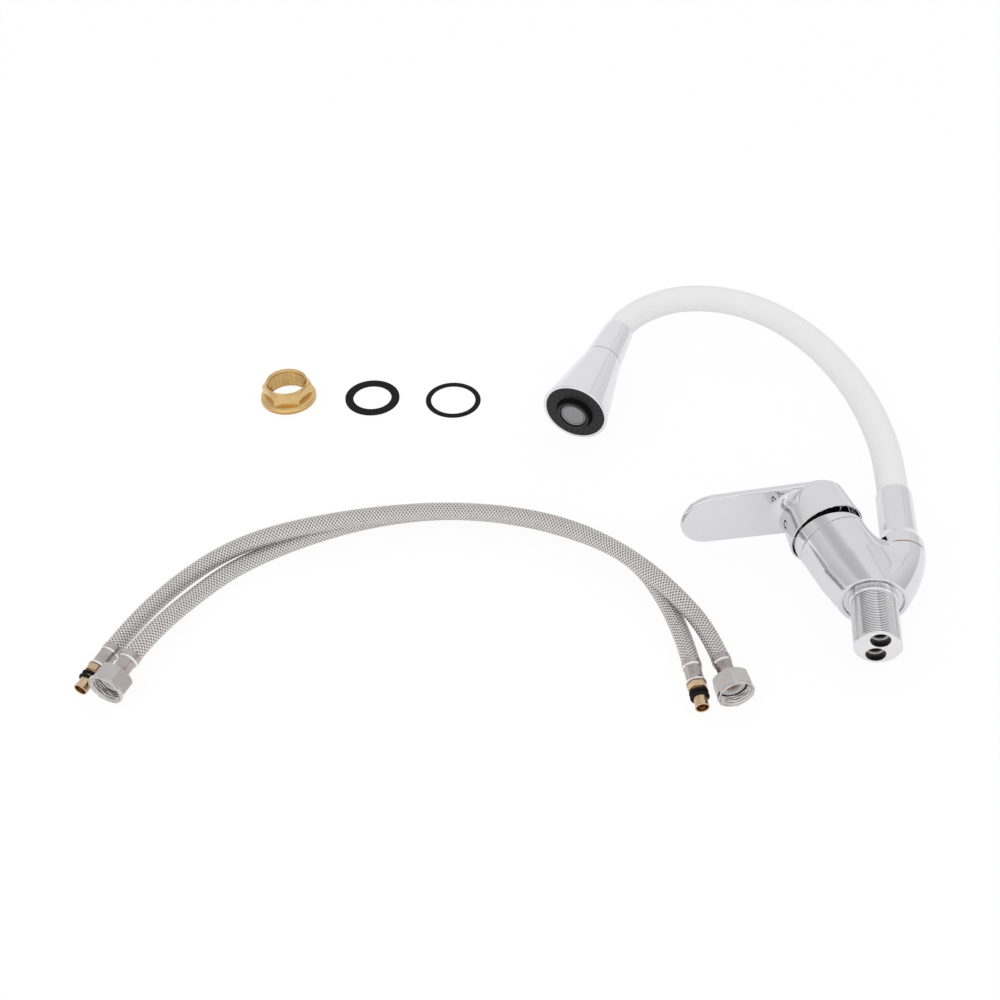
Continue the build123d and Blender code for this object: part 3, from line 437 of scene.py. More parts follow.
def rounded(corners, segments=5):
    # closed profile of (radius, height, rounding) corners with each corner turned into an arc
    outline, count = [], len(corners)
    for index, (radius, height, rounding) in enumerate(corners):
        here = Vector((radius, height))
        before, after = Vector(corners[index - 1][:2]), Vector(corners[(index + 1) % count][:2])
        first, second = before - here, after - here
        if rounding <= 0:
            outline.append(here)
            continue
        half = first.angle(second) / 2
        reach = min(rounding / math.tan(half), first.length * 0.49, second.length * 0.49)
        start, end = here + first.normalized() * reach, here + second.normalized() * reach
        bow = reach * math.tan(half)
        centre = here + (first.normalized() + second.normalized()).normalized() * (bow / math.sin(half))
        turn = (start - centre).angle_signed(end - centre)
        for step in range(segments + 1):
            spoke = Matrix.Rotation(-turn * step / segments, 2) @ (start - centre)
            outline.append(centre + spoke)
    return outline


def evenTurns(count):
    return np.linspace(0, 2 * math.pi, count, endpoint=False)


def ringPoints(radii, turns, height, centre=(0.0, 0.0)):
    x, y = centre[0] + radii * np.cos(turns), centre[1] + radii * np.sin(turns)
    return np.stack([x, y, np.broadcast_to(height, turns.shape)], 1)


def circle(radius, height, around, centre=(0.0, 0.0)):
    return ringPoints(radius, evenTurns(around), height, centre)


def ringCorners(inner, outer, low, high, edge=0.0):
    # the profile of a flat ring
    return [(inner, low, edge), (outer, low, edge), (outer, high, edge), (inner, high, edge)]


def lathe(name, corners, place, material, around=128, segments=5, angle=32.0):
    outline = rounded(corners, segments)
    rows = [circle(max(point[0], 0.0), point[1], around) for point in outline]
    shape = Shape()
    shape.grid(rows + rows[:1])
    return shape.toObject(name, place, material, angle)


def wallRows(heights, around, radiusAt):
    # rows of a surface given as a radius over height and turn
    turns = evenTurns(around)
    return [ringPoints(radiusAt(height, turns), turns, height) for height in heights]


def interpolated(table):
    heights, radii = zip(*table)
    return lambda height: float(np.interp(height, heights, radii))


def hexRadius(flats, turns, turn=0.0):
    sector = np.mod(turns - math.radians(turn), math.pi / 3) - math.pi / 6
    return flats / 2 / np.cos(sector)


def threadRadius(turns, height, pitch, crest, depth, fade=1.0):
    phase = np.mod(height / pitch - turns / (2 * math.pi), 1.0)
    wave = np.clip(np.abs(phase - 0.5) * 2.6 - 0.25, 0, 1)
    return crest - depth * fade * wave


def resampled(line, count):
    line = np.asarray(line, float)
    along = np.concatenate([[0], np.cumsum(np.linalg.norm(np.diff(line, axis=0), axis=1))])
    at = np.linspace(0, along[-1], count)
    return np.stack([np.interp(at, along, line[:, axis]) for axis in range(3)], 1), at


def splineLine(points):
    # the points along a NURBS spline with no bevel
    curve = bpy.data.curves.new("route", "CURVE")
    curve.dimensions, curve.resolution_u = "3D", 48
    spline = curve.splines.new("NURBS")
    spline.points.add(len(points) - 1)
    for point, place in zip(spline.points, points):
        point.co = (*place, 1.0)
    spline.order_u = 3
    spline.use_endpoint_u = True
    holder = bpy.data.objects.new("route", curve)
    mesh = bpy.data.meshes.new_from_object(holder)
    line = np.array([vertex.co for vertex in mesh.vertices])
    bpy.data.meshes.remove(mesh)
    bpy.data.objects.remove(holder)
    bpy.data.curves.remove(curve)
    return line


def tubeFrames(line):
    # tangent and two cross directions carried along the line without twist
    tangents = np.gradient(line, axis=0)
    tangents /= np.linalg.norm(tangents, axis=1)[:, None]
    side = np.cross(tangents[0], (0, 0, 1.0))
    sides = []
    for tangent in tangents:
        side = side - tangent * (side @ tangent)
        side /= np.linalg.norm(side)
        sides.append(side)
    sides = np.array(sides)
    return sides, np.cross(tangents, sides)


def tubeObject(name, line, around, radiusAt, material, lead):
    # closed tube along a line in metres, with a UV map of turns of lead along and turns round
    rows, at = resampled(line, len(line))
    sides, tops = tubeFrames(rows)
    turns = evenTurns(around)
    radii = radiusAt(at, turns)
    ring = sides[:, None] * np.cos(turns)[None, :, None] + tops[:, None] * np.sin(turns)[None, :, None]
    points = rows[:, None] + ring * radii[:, :, None]
    count = len(rows)
    columns = np.arange(around)
    after = (columns + 1) % around
    base = (np.arange(count - 1) * around)[:, None]
    quads = np.stack([base + columns, base + after, base + around + after, base + around + columns], 2)
    faces = quads.reshape(-1, 4).tolist()
    ends = [rows[0].tolist(), rows[-1].tolist()]
    total = count * around
    last = total - around
    faces += [(int(after[i]), int(i), total) for i in columns]
    faces += [(last + int(i), last + int(after[i]), total + 1) for i in columns]
    mesh = bpy.data.meshes.new(name)
    mesh.from_pydata(points.reshape(-1, 3).tolist() + ends, [], faces)
    layer = mesh.uv_layers.new(name="braid")
    along = at / lead
    cornerIndex = np.zeros(len(mesh.loops), np.int32)
    mesh.loops.foreach_get("vertex_index", cornerIndex)
    uv = np.zeros((len(mesh.loops), 2))
    ringIndex = np.minimum(cornerIndex // around, count - 1)
    uv[:, 0] = along[ringIndex]
    uv[:, 1] = (cornerIndex % around) / around
    sideLoops = (count - 1) * around * 4
    wrapped = np.zeros(len(uv), bool)  # the last column's far corners are a whole turn round
    quadCorner = np.arange(sideLoops) % 4
    quadColumn = (np.arange(sideLoops) // 4) % around
    wrapped[:sideLoops] = (quadColumn == around - 1) & ((quadCorner == 1) | (quadCorner == 2))
    uv[wrapped, 1] = 1.0
    layer.data.foreach_set("uv", uv.ravel())
    work = bmesh.new()
    work.from_mesh(mesh)
    bmesh.ops.recalc_face_normals(work, faces=work.faces)
    work.to_mesh(mesh)
    work.free()
    mesh.shade_smooth()
    mesh.set_sharp_from_angle(angle=math.radians(80))
    return link(name, mesh, material)


# Smooth castings: a field that is negative inside, meshed on a grid and drawn onto its surface

def smoothMin(first, second, blend):
    blend = np.maximum(blend, 1e-6)
    share = np.clip(0.5 + 0.5 * (second - first) / blend, 0, 1)
    return second + (first - second) * share - blend * share * (1 - share)


def smoothMax(first, second, blend):
    return -smoothMin(-first, -second, blend)


def smoothStep(low, high, value):
    share = np.clip((value - low) / (high - low), 0, 1)
    return share * share * (3 - 2 * share)


def gradient(field, points, reach=0.03):
    slopes = []
    for axis in range(3):
        step = np.zeros(3)
        step[axis] = reach
        slopes.append((field(points + step) - field(points - step)) / (2 * reach))
    return np.stack(slopes, 1)


def castObject(name, field, low, high, step, place, material):
    low, high = np.array(low, float), np.array(high, float)
    counts = np.ceil((high - low) / step).astype(int) + 1
    axes = [low[axis] + step * np.arange(counts[axis]) for axis in range(3)]
    nodes = np.stack(np.meshgrid(*axes, indexing="ij"), -1)
    values = field(nodes.reshape(-1, 3)).reshape(counts)
    inside = values < 0
    cells = tuple(counts - 1)
    corners = [(i, j, k) for i in (0, 1) for j in (0, 1) for k in (0, 1)]

    def corner(array, offset):
        return array[tuple(slice(offset[axis], offset[axis] + cells[axis]) for axis in range(3))]

    filled = sum(corner(inside, offset).astype(int) for offset in corners)
    active = (filled > 0) & (filled < 8)
    index = np.full(cells, -1)
    index[active] = np.arange(active.sum())
    sums, hits = np.zeros((active.sum(), 3)), np.zeros(active.sum())
    for start in corners:
        for axis in range(3):
            if start[axis]:
                continue
            end = tuple(1 if other == axis else start[other] for other in range(3))
            first, second = corner(values, start)[active], corner(values, end)[active]
            crossing = (first < 0) != (second < 0)
            share = np.where(crossing, first / np.where(crossing, first - second, 1), 0)
            spot = corner(nodes, start)[active].copy()
            spot[:, axis] += share * step
            sums += spot * crossing[:, None]
            hits += crossing
    points = sums / hits[:, None]
    faces = []
    for axis in range(3):
        second, third = (axis + 1) % 3, (axis + 2) % 3
        here = [slice(1, counts[other] - 1) for other in range(3)]
        here[axis] = slice(0, counts[axis] - 1)
        onward = list(here)
        onward[axis] = slice(1, counts[axis])
        starts, ends = inside[tuple(here)], inside[tuple(onward)]
        spots = np.argwhere(starts != ends)
        flips = starts[starts != ends]
        spots = spots + np.array([0 if other == axis else 1 for other in range(3)])
        ring = []
        for back, side in ((1, 1), (0, 1), (0, 0), (1, 0)):
            cell = spots.copy()
            cell[:, second] -= back
            cell[:, third] -= side
            ring.append(index[tuple(cell.T)])
        quads = np.stack(ring, 1)
        quads[~flips] = quads[~flips][:, ::-1]
        faces.append(quads)
    for turn in range(6):
        slope = gradient(field, points)
        push = field(points) / np.maximum((slope * slope).sum(1), 0.05)
        move = slope * push[:, None]
        length = np.linalg.norm(move, axis=1)
        points -= move * np.minimum(1, step / np.maximum(length, 1e-9))[:, None]
    slope = gradient(field, points)
    normals = slope / np.maximum(np.linalg.norm(slope, axis=1), 1e-9)[:, None]
    mesh = bpy.data.meshes.new(name)
    mesh.from_pydata(points.tolist(), [], np.vstack(faces).tolist())
    mesh.transform(place)
    mesh.shade_smooth()
    turned = normals @ np.array(place.to_3x3().normalized()).T
    mesh.normals_split_custom_set_from_vertices(turned.tolist())
    return link(name, mesh, material)


# Body casting

bodySetup = {
    "baseRadius": 24.6, "armRadius": 27.0, "armStart": 28.0, "armTop": 57.6,
    "elbow": ((0.0, 0.0, 24.2), (20.0, -12.5, 21.5), (36.0, -20.2, 18.8), (50.0, -24.3, 17.2)),
    "crotch": 15.0, "crotchFrom": 6.0, "crotchTo": 40.0, "rim": 1.2, "mouth": 0.5,
    "recessRadius": 21.2, "recessDepth": 2.0, "shankBore": 15.55, "shankSeat": 9.0,
    "cartridgeBore": 20.5, "cartridgeFloor": 22.0, "scoop": 17.9, "nippleBore": 10.05, "nippleDepth": 14.0,
    "grid": 0.85,
}
elbowTable = np.array(bodySetup["elbow"])
elbowCentre = np.polyfit(elbowTable[:, 0], elbowTable[:, 1], 3)
elbowRadius = np.polyfit(elbowTable[:, 0], elbowTable[:, 2], 3)
armTurn = math.radians(layout["armTilt"])


def inArm(points):
    lifted = points - np.array([0, 0, layout["armFoot"]])
    along = lifted[:, 0] * math.sin(armTurn) + lifted[:, 2] * math.cos(armTurn)
    across = lifted[:, 0] * math.cos(armTurn) - lifted[:, 2] * math.sin(armTurn)
    return across, lifted[:, 1], along


def armField(points):
    # a straight loft from the level base circle to the arm's tilted circle, then a cylinder
    setup = bodySetup
    across, side, along = inArm(points)
    tube = np.hypot(across, side) - setup["armRadius"]
    top = np.array([setup["armStart"] * math.sin(armTurn), layout["armFoot"] + setup["armStart"] * math.cos(armTurn)])
    share = np.clip(points[:, 2] / top[1], 0, 1)
    plan = points[:, [0, 2]]
    for turn in range(12):
        centre = share[:, None] * top
        direction = np.stack([
            (1 - share) * setup["baseRadius"] + share * setup["armRadius"] * math.cos(armTurn),
            -share * setup["armRadius"] * math.sin(armTurn),
        ], 1)
        length = np.linalg.norm(direction, axis=1)
        normal = np.stack([-direction[:, 1], direction[:, 0]], 1) / length[:, None]
        miss = ((plan - centre) * normal).sum(1)
        share = np.clip(share + miss / (normal @ top), -0.3, 1.0)
    centre = share[:, None] * top
    reach = ((plan - centre) * direction).sum(1) / length**2
    width = (1 - share) * setup["baseRadius"] + share * setup["armRadius"]
    foot = (np.hypot(reach, side / width) - 1) * np.minimum(length, width)
    return np.where(along > setup["armStart"], tube, foot)


def bodyField(points):
    setup = bodySetup
    x, y, z = points.T
    across, side, along = inArm(points)
    arm = smoothMax(armField(points), along - setup["armTop"], setup["mouth"])
    height = np.clip(z, -5, 55)
    elbow = np.hypot(x - np.polyval(elbowCentre, height), y) - np.polyval(elbowRadius, height)
    elbow = smoothMax(elbow * 0.92, z - layout["outletHeight"], setup["mouth"])
    blend = setup["crotch"] * smoothStep(setup["crotchFrom"], setup["crotchTo"], z)
    body = smoothMin(arm, elbow, blend)
    outlet = np.hypot(x + layout["outletBack"], y)
    scoop = np.maximum(outlet - setup["scoop"], layout["outletHeight"] - z)
    body = smoothMax(body, -scoop, setup["mouth"])
    body = smoothMax(body, -z, setup["rim"])
    axis = np.hypot(x, y)
    recess = np.maximum(axis - setup["recessRadius"], z - setup["recessDepth"])
    body = smoothMax(body, -recess, 0.4)
    body = np.maximum(body, -np.maximum(axis - setup["shankBore"], z - setup["shankSeat"]))
    bore = np.maximum(np.hypot(across, side) - setup["cartridgeBore"], setup["cartridgeFloor"] - along)
    body = np.maximum(body, -bore)
    nipple = np.maximum(outlet - setup["nippleBore"], layout["outletHeight"] - setup["nippleDepth"] - z)
    return np.maximum(body, -nipple)


body = castObject("bodyShell", bodyField, (-46, -30, -3), (54, 30, 74), bodySetup["grid"], mixerPlace, chrome)
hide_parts("body_casting")
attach(body, "kit")
print("body cast")


# Lever handle: cap and paddle in one casting

leverSetup = {
    "skirtRadius": 29.6, "capTopRadius": 26.6, "capHeight": 35.4, "skirtSlant": 6.1, "skirtLift": 1.0,
    "wall": 1.8, "roof": 31.0, "paddleThickness": 5.8, "rootHalf": 26.3, "tipHalf": 24.5, "reach": 106.7,
    "topEdge": 2.6, "lowEdge": 1.4, "fillet": 11.0, "screwHeight": 16.0, "screwRadius": 3.3,
    "bossRadius": 5.0, "bossFront": 12.0, "bossInset": 2.5, "screwFloor": 8.0, "flareFrom": 27.2, "flare": 0.6,
    "filletSide": (16, 25), "filletReach": (10, 22), "grid": 0.8,
}


def leverField(points):
    setup = leverSetup
    x, y, z = points.T
    taper = (setup["skirtRadius"] - setup["capTopRadius"]) / setup["capHeight"]
    axis = np.hypot(x, y)
    cap = axis - (setup["skirtRadius"] - taper * z)
    tipCentre = setup["reach"] - setup["tipHalf"]
    half = setup["rootHalf"] - (setup["rootHalf"] - setup["tipHalf"]) * np.clip(x / tipCentre, 0, 1)
    outline = np.where(x < tipCentre, np.abs(y) - half, np.hypot(x - tipCentre, y) - setup["tipHalf"])
    outline = np.maximum(outline, -x)
    paddle = smoothMax(outline, setup["capHeight"] - setup["paddleThickness"] - z, setup["lowEdge"] * 2)
    blend = setup["fillet"] * (1 - smoothStep(*setup["filletSide"], np.abs(y))) * smoothStep(*setup["filletReach"], x)
    lever = smoothMin(cap, paddle, blend)
    lever = smoothMax(lever, z - setup["capHeight"], setup["topEdge"] * 1.7)
    hollow = np.maximum(axis - (setup["skirtRadius"] - setup["wall"] - taper * z), z - setup["roof"])
    lever = smoothMax(lever, -hollow, 0.5)
    slant = math.radians(setup["skirtSlant"])
    lever = smoothMax(lever, -(x * math.sin(slant) + (z - setup["skirtLift"]) * math.cos(slant)), 0.5)
    screw = np.hypot(y, z - setup["screwHeight"])
    boss = np.maximum(screw - setup["bossRadius"], setup["bossFront"] - x)
    lever = np.minimum(lever, np.maximum(boss, axis - setup["skirtRadius"] + setup["bossInset"]))
    flare = np.clip((x - setup["flareFrom"]) * 0.5, 0, setup["flare"])
    hole = np.maximum(screw - setup["screwRadius"] - flare, setup["screwFloor"] - x)
    return smoothMax(lever, -hole, 0.3)


lever = castObject(
    "leverShell", leverField, (-33, -33, -5), (110, 33, 39), leverSetup["grid"], handlePlace, chrome
)
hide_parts("lever_handle")
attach(lever, "handle")

# the plug in the cap's screw hole, with a black ring of painted shade in the gap round it
plugSetup = {"face": 27.6, "dome": 1.3, "radius": 2.2, "length": 4, "gapRadius": 3.5, "gapDepth": 1.0}
plugPlace = shifted(handlePlace, z=leverSetup["screwHeight"], turnY=90)
plugFace, plugRadius = plugSetup["face"], plugSetup["radius"]
plugBack = plugFace - plugSetup["length"]
plugCorners = [
    (0, plugFace - 0.1, 0), (plugSetup["dome"], plugFace + 0.1, 0.2), (plugRadius, plugFace + 0.3, 0.3),
    (plugRadius, plugBack, 0), (0, plugBack, 0),
]
gapCorners = ringCorners(plugRadius, plugSetup["gapRadius"], plugFace + 0.12, plugFace - plugSetup["gapDepth"])
plug = lathe("screwPlug", plugCorners, plugPlace, chrome, 48)
plugShade = lathe("screwShade", gapCorners, plugPlace, shadedPlastic, 48)
for piece, slotName in ((plug, "chrome"), (plugShade, "black_plastic")):
    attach(piece, "handle")
print("lever cast")


# Threaded shank with its two sockets

shankSetup = {
    "radius": 16.5, "length": 42.2, "root": 15.5, "seat": 8.9, "pitch": 1.5, "depth": 0.85, "plainEnd": 1.0,
    "neck": -2.4, "around": 144, "spacing": 15.1, "mouth": 6.9, "mouthDepth": 6.4, "bore": 4.6, "boreThread": 0.4,
    "borePitch": 1.25, "boreStep": 0.35, "boreAround": 48,
}


def threadedShank():
    setup = shankSetup
    end = -setup["length"]
    threadLow = end + setup["plainEnd"]
    ends = [end, end + 0.25, end + 0.8, threadLow - 0.1]
    neck = (
        (-2.3, 15.9), (-1.7, 16.0), (-1.2, 16.4), (-0.7, 17.1), (-0.4, 17.35), (0.0, 17.4), (1.9, 17.4),
        (1.95, setup["root"]), (setup["seat"], setup["root"]),
    )
    heights = ends + np.arange(threadLow, setup["neck"], setup["pitch"] / 8).tolist()
    heights += [height for height, radius in neck]
    neckRadius = interpolated(neck)

    def radiusAt(height, turns):
        edge = min(1.0, (height - end) / 0.8)
        plain = setup["radius"] - 0.15 - 0.8 * (1 - math.sin(edge * math.pi / 2))
        if height > setup["neck"]:
            return np.full(len(turns), neckRadius(height))
        if height < threadLow:
            return np.full(len(turns), plain)
        fade = min(1.0, (height - threadLow) / 1.2)
        return threadRadius(turns, height, setup["pitch"], setup["radius"], setup["depth"], fade)

    shape = Shape()
    rows = wallRows(heights, setup["around"], radiusAt)
    shape.grid(rows)
    shape.fan(rows[-1], (0, 0, setup["seat"]))
    centres = [(0.0, side * setup["spacing"] / 2) for side in (1, -1)]
    mouths = []
    deep = end + setup["mouthDepth"]
    crest, turns = setup["bore"] + setup["boreThread"], evenTurns(setup["boreAround"])
    for centre in centres:
        profile = [(setup["mouth"] + 0.3, end), (setup["mouth"], end + 0.3), (setup["mouth"], deep),
                   (setup["bore"] + 0.6, deep), (setup["bore"], deep + 0.6)]
        wall = [circle(radius, height, setup["boreAround"], centre) for radius, height in profile]
        mouths.append(wall[0])
        for height in np.arange(deep + 0.8, setup["seat"] - 1, setup["boreStep"]):
            radii = threadRadius(turns, height, setup["borePitch"], crest, setup["boreThread"])
            wall.append(ringPoints(radii, turns, height, centre))
        shape.grid(wall)
        shape.fan(wall[-1], (*centre, wall[-1][0][2]))
    shape.plate(rows[0], mouths)
    made = shape.toObject("shankThread", mixerPlace, threadChrome, 40.0, False)
    grooveLow, grooveHigh = setup["radius"] - 1.2, setup["radius"] - setup["depth"] * 0.45

    # painted shade on the socket walls, painted light on the step at their foot, and darker thread roots for dirt and
    # painted shade
    def pick(spot):
        inSocket = any(math.hypot(spot.x - x, spot.y - y) < setup["mouth"] + 0.1 for x, y in centres)
        if inSocket and spot.z > end + 0.25:
            return 3 if abs(spot.z - deep) < 0.05 else 2
        return int(threadLow < spot.z < setup["neck"] and grooveLow < math.hypot(spot.x, spot.y) < grooveHigh)

    paintFaces(made, mixerPlace, pick, grooveDirtAndShade, socketWallShade, socketStepLight)
    return made


shank = threadedShank()
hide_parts("threaded_shank")
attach(shank, "kit")


# Wedge ring on the arm, with its slanted top

ringSetup = {"radius": 27.2, "wall": 2.2, "low": 57.6, "centre": 64.0, "slant": 9.2, "edge": 0.5, "around": 160}


def wedgeRing():
    setup = ringSetup
    slope = math.tan(math.radians(setup["slant"]))
    turns = evenTurns(setup["around"])
    inner, outer, edge = setup["radius"] - setup["wall"], setup["radius"], setup["edge"]
    low = setup["low"] + 0.12
    profile = [(inner, 0, 0.0), (outer - edge, 0, 0.0)]
    profile += [(outer - edge * (1 - math.sin(a)), 0, edge * (1 - math.cos(a))) for a in (0.5, 1.0, math.pi / 2)]
    profile += [(outer, 1, -edge)]
    profile += [(outer - edge * (1 - math.cos(a)), 1, -edge * (1 - math.sin(a))) for a in (0.5, 1.0, math.pi / 2)]
    profile += [(inner + 0.3, 1, 0.0), (inner, 1, -0.3)]
    rows = []
    for radius, atTop, offset in profile + profile[:1]:
        top = setup["centre"] + slope * radius * np.cos(turns)
        height = np.where(atTop, top, low) + offset
        rows.append(ringPoints(radius, turns, height))
    shape = Shape()
    shape.grid(rows)
    return shape.toObject("wedgeRing", armPlace, chrome)


wedge = wedgeRing()
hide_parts("wedge_ring")
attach(wedge, "kit")


# Spout sleeve, head cone and head collar

sleeveSetup = {"low": 1.0, "collar": 17.1, "collarHeight": 7.9, "blend": 10.5, "radius": 13.85, "high": 65.8,
               "nippleBore": 10.05, "webLow": 29.0, "webHigh": 33.0, "tail": 6.05, "hoseBore": 12.05}


def sleeveCorners():
    setup = sleeveSetup
    corners = [(setup["nippleBore"], setup["low"], 0.0), (setup["collar"], setup["low"], 0.35)]
    start = setup["low"] + setup["collarHeight"]
    for step in range(13):
        share = step / 12
        ease = share * share * (3 - 2 * share)
        radius = setup["collar"] + (setup["radius"] - setup["collar"]) * ease
        corners.append((radius, start + share * setup["blend"], 0.0))
    corners += [(setup["radius"], setup["high"], 0.9), (setup["hoseBore"], setup["high"], 0.3),
                (setup["hoseBore"], setup["webHigh"], 0.0), (setup["tail"], setup["webHigh"], 0.0),
                (setup["tail"], setup["webLow"], 0.0), (setup["nippleBore"], setup["webLow"], 0.0)]
    return corners


sleeve = lathe("spoutSleeve", sleeveCorners(), outletPlace, chrome, angle=40.0)
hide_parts("spout_sleeve")
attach(sleeve, "spout_foot")

headSetup = {"rim": 29.0, "neck": 16.8, "coneHeight": 70.3, "neckDepth": 14.0, "spigot": 11.0, "seam": 0.5,
             "collarHeight": 42.5, "collar": 13.8, "socket": 28.0, "plate": 26.1, "plateDepth": 3.0}


def headConeCorners():
    setup = headSetup
    neckLow = setup["coneHeight"] - setup["neckDepth"]
    slope = (setup["rim"] - setup["neck"]) / setup["coneHeight"]
    return [
        (setup["plate"] + 0.05, 0.3, 0.2), (setup["plate"] + 0.7, 0.0, 0.4), (setup["rim"], 0.0, 1.1),
        (setup["neck"], setup["coneHeight"], 0.3), (setup["spigot"] + 0.05, setup["coneHeight"], 0.0),
        (setup["spigot"] + 0.05, neckLow, 0.0), (setup["rim"] - slope * neckLow - 3.3, neckLow, 0.0),
        (setup["plate"] - 1.45, setup["plateDepth"] + 0.5, 0.0),
        (setup["plate"] + 0.05, setup["plateDepth"] + 0.5, 0.0),
    ]


def headCollarCorners():
    setup = headSetup
    low = setup["coneHeight"] + setup["seam"]
    high = low + setup["collarHeight"]
    webHigh = high - setup["socket"]
    spigotLow = setup["coneHeight"] - setup["neckDepth"] + 1.0
    tail, bore = sleeveSetup["tail"], sleeveSetup["hoseBore"]
    return [
        (tail, spigotLow, 0.0), (setup["spigot"], spigotLow, 0.0), (setup["spigot"], low, 0.0),
        (setup["neck"], low, 0.3), (setup["collar"], high, 0.9), (bore, high, 0.3), (bore, webHigh, 0.0),
        (tail, webHigh, 0.0),
    ]


cone = lathe("headCone", headConeCorners(), headPlace, chromeOnPlastic, 160, 7, 40.0)
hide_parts("head_cone")
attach(cone, "spray_head")
collar = lathe("headCollar", headCollarCorners(), headPlace, chromeOnPlastic, 160, 7, 40.0)
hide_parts("head_collar")
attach(collar, "spout_end")
# a black ring set in the seam between cone and collar, as painted shade in the gap
seamLow = headSetup["coneHeight"] + 0.02
seamCorners = ringCorners(headSetup["spigot"] + 0.1, headSetup["neck"] - 0.5, seamLow, seamLow + 0.45)
seamRing = lathe("collarSeal", seamCorners, headPlace, blackRubber, 128)
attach(seamRing, "spout_end")
print("sleeve and head turned")


# Nodes that repeat a small mesh round rings

def ringTree():
    # instances of one object's mesh on rings: each ring has its own radius and count
    tree = bpy.data.node_groups.new("rings of pieces", "GeometryNodeTree")
    names = (("Piece", "NodeSocketObject"), ("Radius", "NodeSocketFloat"), ("Count", "NodeSocketInt"),
             ("Start", "NodeSocketFloat"), ("Finish", "NodeSocketMaterial"))
    for name, kind in names:
        tree.interface.new_socket(name, in_out="INPUT", socket_type=kind)
    tree.interface.new_socket("Geometry", in_out="OUTPUT", socket_type="NodeSocketGeometry")
    nodes = Nodes(tree)
    source = tree.nodes.new("NodeGroupInput")
    target = tree.nodes.new("NodeGroupOutput")
    given = source.outputs
    ring = nodes.add("GeometryNodeMeshCircle", {}, {"Vertices": given["Count"], "Radius": given["Radius"]})
    info = nodes.add("GeometryNodeObjectInfo", {}, {"Object": given["Piece"]})
    count = Value(nodes, given["Count"])
    turn = nodes.value(nodes.add("GeometryNodeInputIndex")) * (2 * math.pi) / count
    spin = nodes.add("ShaderNodeCombineXYZ", {}, {2: turn})
    placed = nodes.add("GeometryNodeInstanceOnPoints", {}, {
        "Points": ring.outputs["Mesh"], "Instance": info.outputs["Geometry"], "Rotation": spin.outputs[0]})
    start = nodes.add("ShaderNodeCombineXYZ", {}, {2: given["Start"]})
    moved = nodes.add("GeometryNodeTransform", {}, {"Geometry": placed.outputs[0], "Rotation": start.outputs[0]})
    real = nodes.add("GeometryNodeRealizeInstances", {}, {"Geometry": moved.outputs[0]})
    painted = nodes.add("GeometryNodeSetMaterial", {}, {"Geometry": real.outputs[0], "Material": given["Finish"]})
    tree.links.new(painted.outputs[0], target.inputs[0])
    return tree


def setInput(modifier, name, value):
    socket = next(item for item in modifier.node_group.interface.items_tree if item.name == name)
    modifier[socket.identifier] = value


def ringsOf(name, piece, rings, material):
    # one mesh of the piece repeated on rings of (radius, count, start turn), in millimetres
    work = bmesh.new()
    for radius, count, start in rings:
        holder = bpy.data.objects.new("ring", bpy.data.meshes.new("ring"))
        bpy.context.scene.collection.objects.link(holder)
        modifier = holder.modifiers.new("rings", "NODES")
        modifier.node_group = ringsGroup
        for key, value in (("Piece", piece), ("Radius", float(radius)), ("Count", count), ("Start", float(start)),
                           ("Finish", material)):
            setInput(modifier, key, value)
        bpy.context.view_layer.update()
        evaluated = holder.evaluated_get(bpy.context.evaluated_depsgraph_get())
        mesh = bpy.data.meshes.new_from_object(evaluated)
        work.from_mesh(mesh)
        bpy.data.meshes.remove(mesh)
        bpy.data.objects.remove(holder)
    merged = bpy.data.meshes.new(name)
    work.to_mesh(merged)
    work.free()
    return merged


ringsGroup = ringTree()


def seedPiece(name, shape):
    # a small mesh near the origin, in millimetres, that the rings repeat
    made = bpy.data.objects.new(name, shape.toMesh(name, False))
    bpy.context.scene.collection.objects.link(made)
    return made


def placeRings(name, mesh, place, material, angle=40.0):
    mesh.transform(place)
    mesh.shade_smooth()
    mesh.set_sharp_from_angle(angle=math.radians(angle))
    return link(name, mesh, material)


# Spray face with its nozzles, and the aerator's screen

plateSetup = {"face": -0.3, "bossRoot": 16.4, "boss": 14.4, "bossHeight": 4.7, "bore": 11.5, "radius": 26.05,
              "back": 3.0, "rings": ((18.9, 18, 0.0), (21.4, 24, 0.1), (23.9, 30, 0.0)), "nozzle": 0.5, "proud": 0.2}
screenSetup = {
    "radius": 10.85, "front": -3.6, "thick": 0.5, "rim": 0.45, "floor": 1.4,
    "rings": (
        (9.65, 38, 0.0), (8.25, 33, 0.05), (6.95, 28, 0.0), (5.65, 23, 0.1), (4.35, 18, 0.0), (3.05, 12, 0.2),
        (1.8, 7, 0.0), (0.65, 3, 0.3),
    ),
    "hole": (0.60, 0.40, 0.40, 0.40, 0.38, 0.36, 0.34, 0.26), "wall": 0.15,
}


def sprayFace():
    setup = plateSetup
    face, tip = setup["face"], setup["face"] - setup["bossHeight"]
    corners = [
        (setup["bore"], tip, 0.25), (setup["boss"], tip, 0.5), (setup["bossRoot"], face, 0.9),
        (setup["radius"], face, 0.3), (setup["radius"], setup["back"], 0.0), (setup["bore"], setup["back"], 0.0),
    ]
    made = lathe("sprayFace", corners, headPlace, blackPlastic, 128, 6)

    # the boss's side wall and the bore take the black of painted shade
    def pick(spot):
        reach = math.hypot(spot.x, spot.y)
        onWall = setup["boss"] - 0.15 < reach < setup["bossRoot"] + 0.2 and spot.z < 0.2
        return int(onWall or reach < setup["bore"] + 0.12)

    paintFaces(made, headPlace, pick, shadedPlastic)
    return made


plate = sprayFace()
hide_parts("nozzle_plate")
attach(plate, "spray_head")


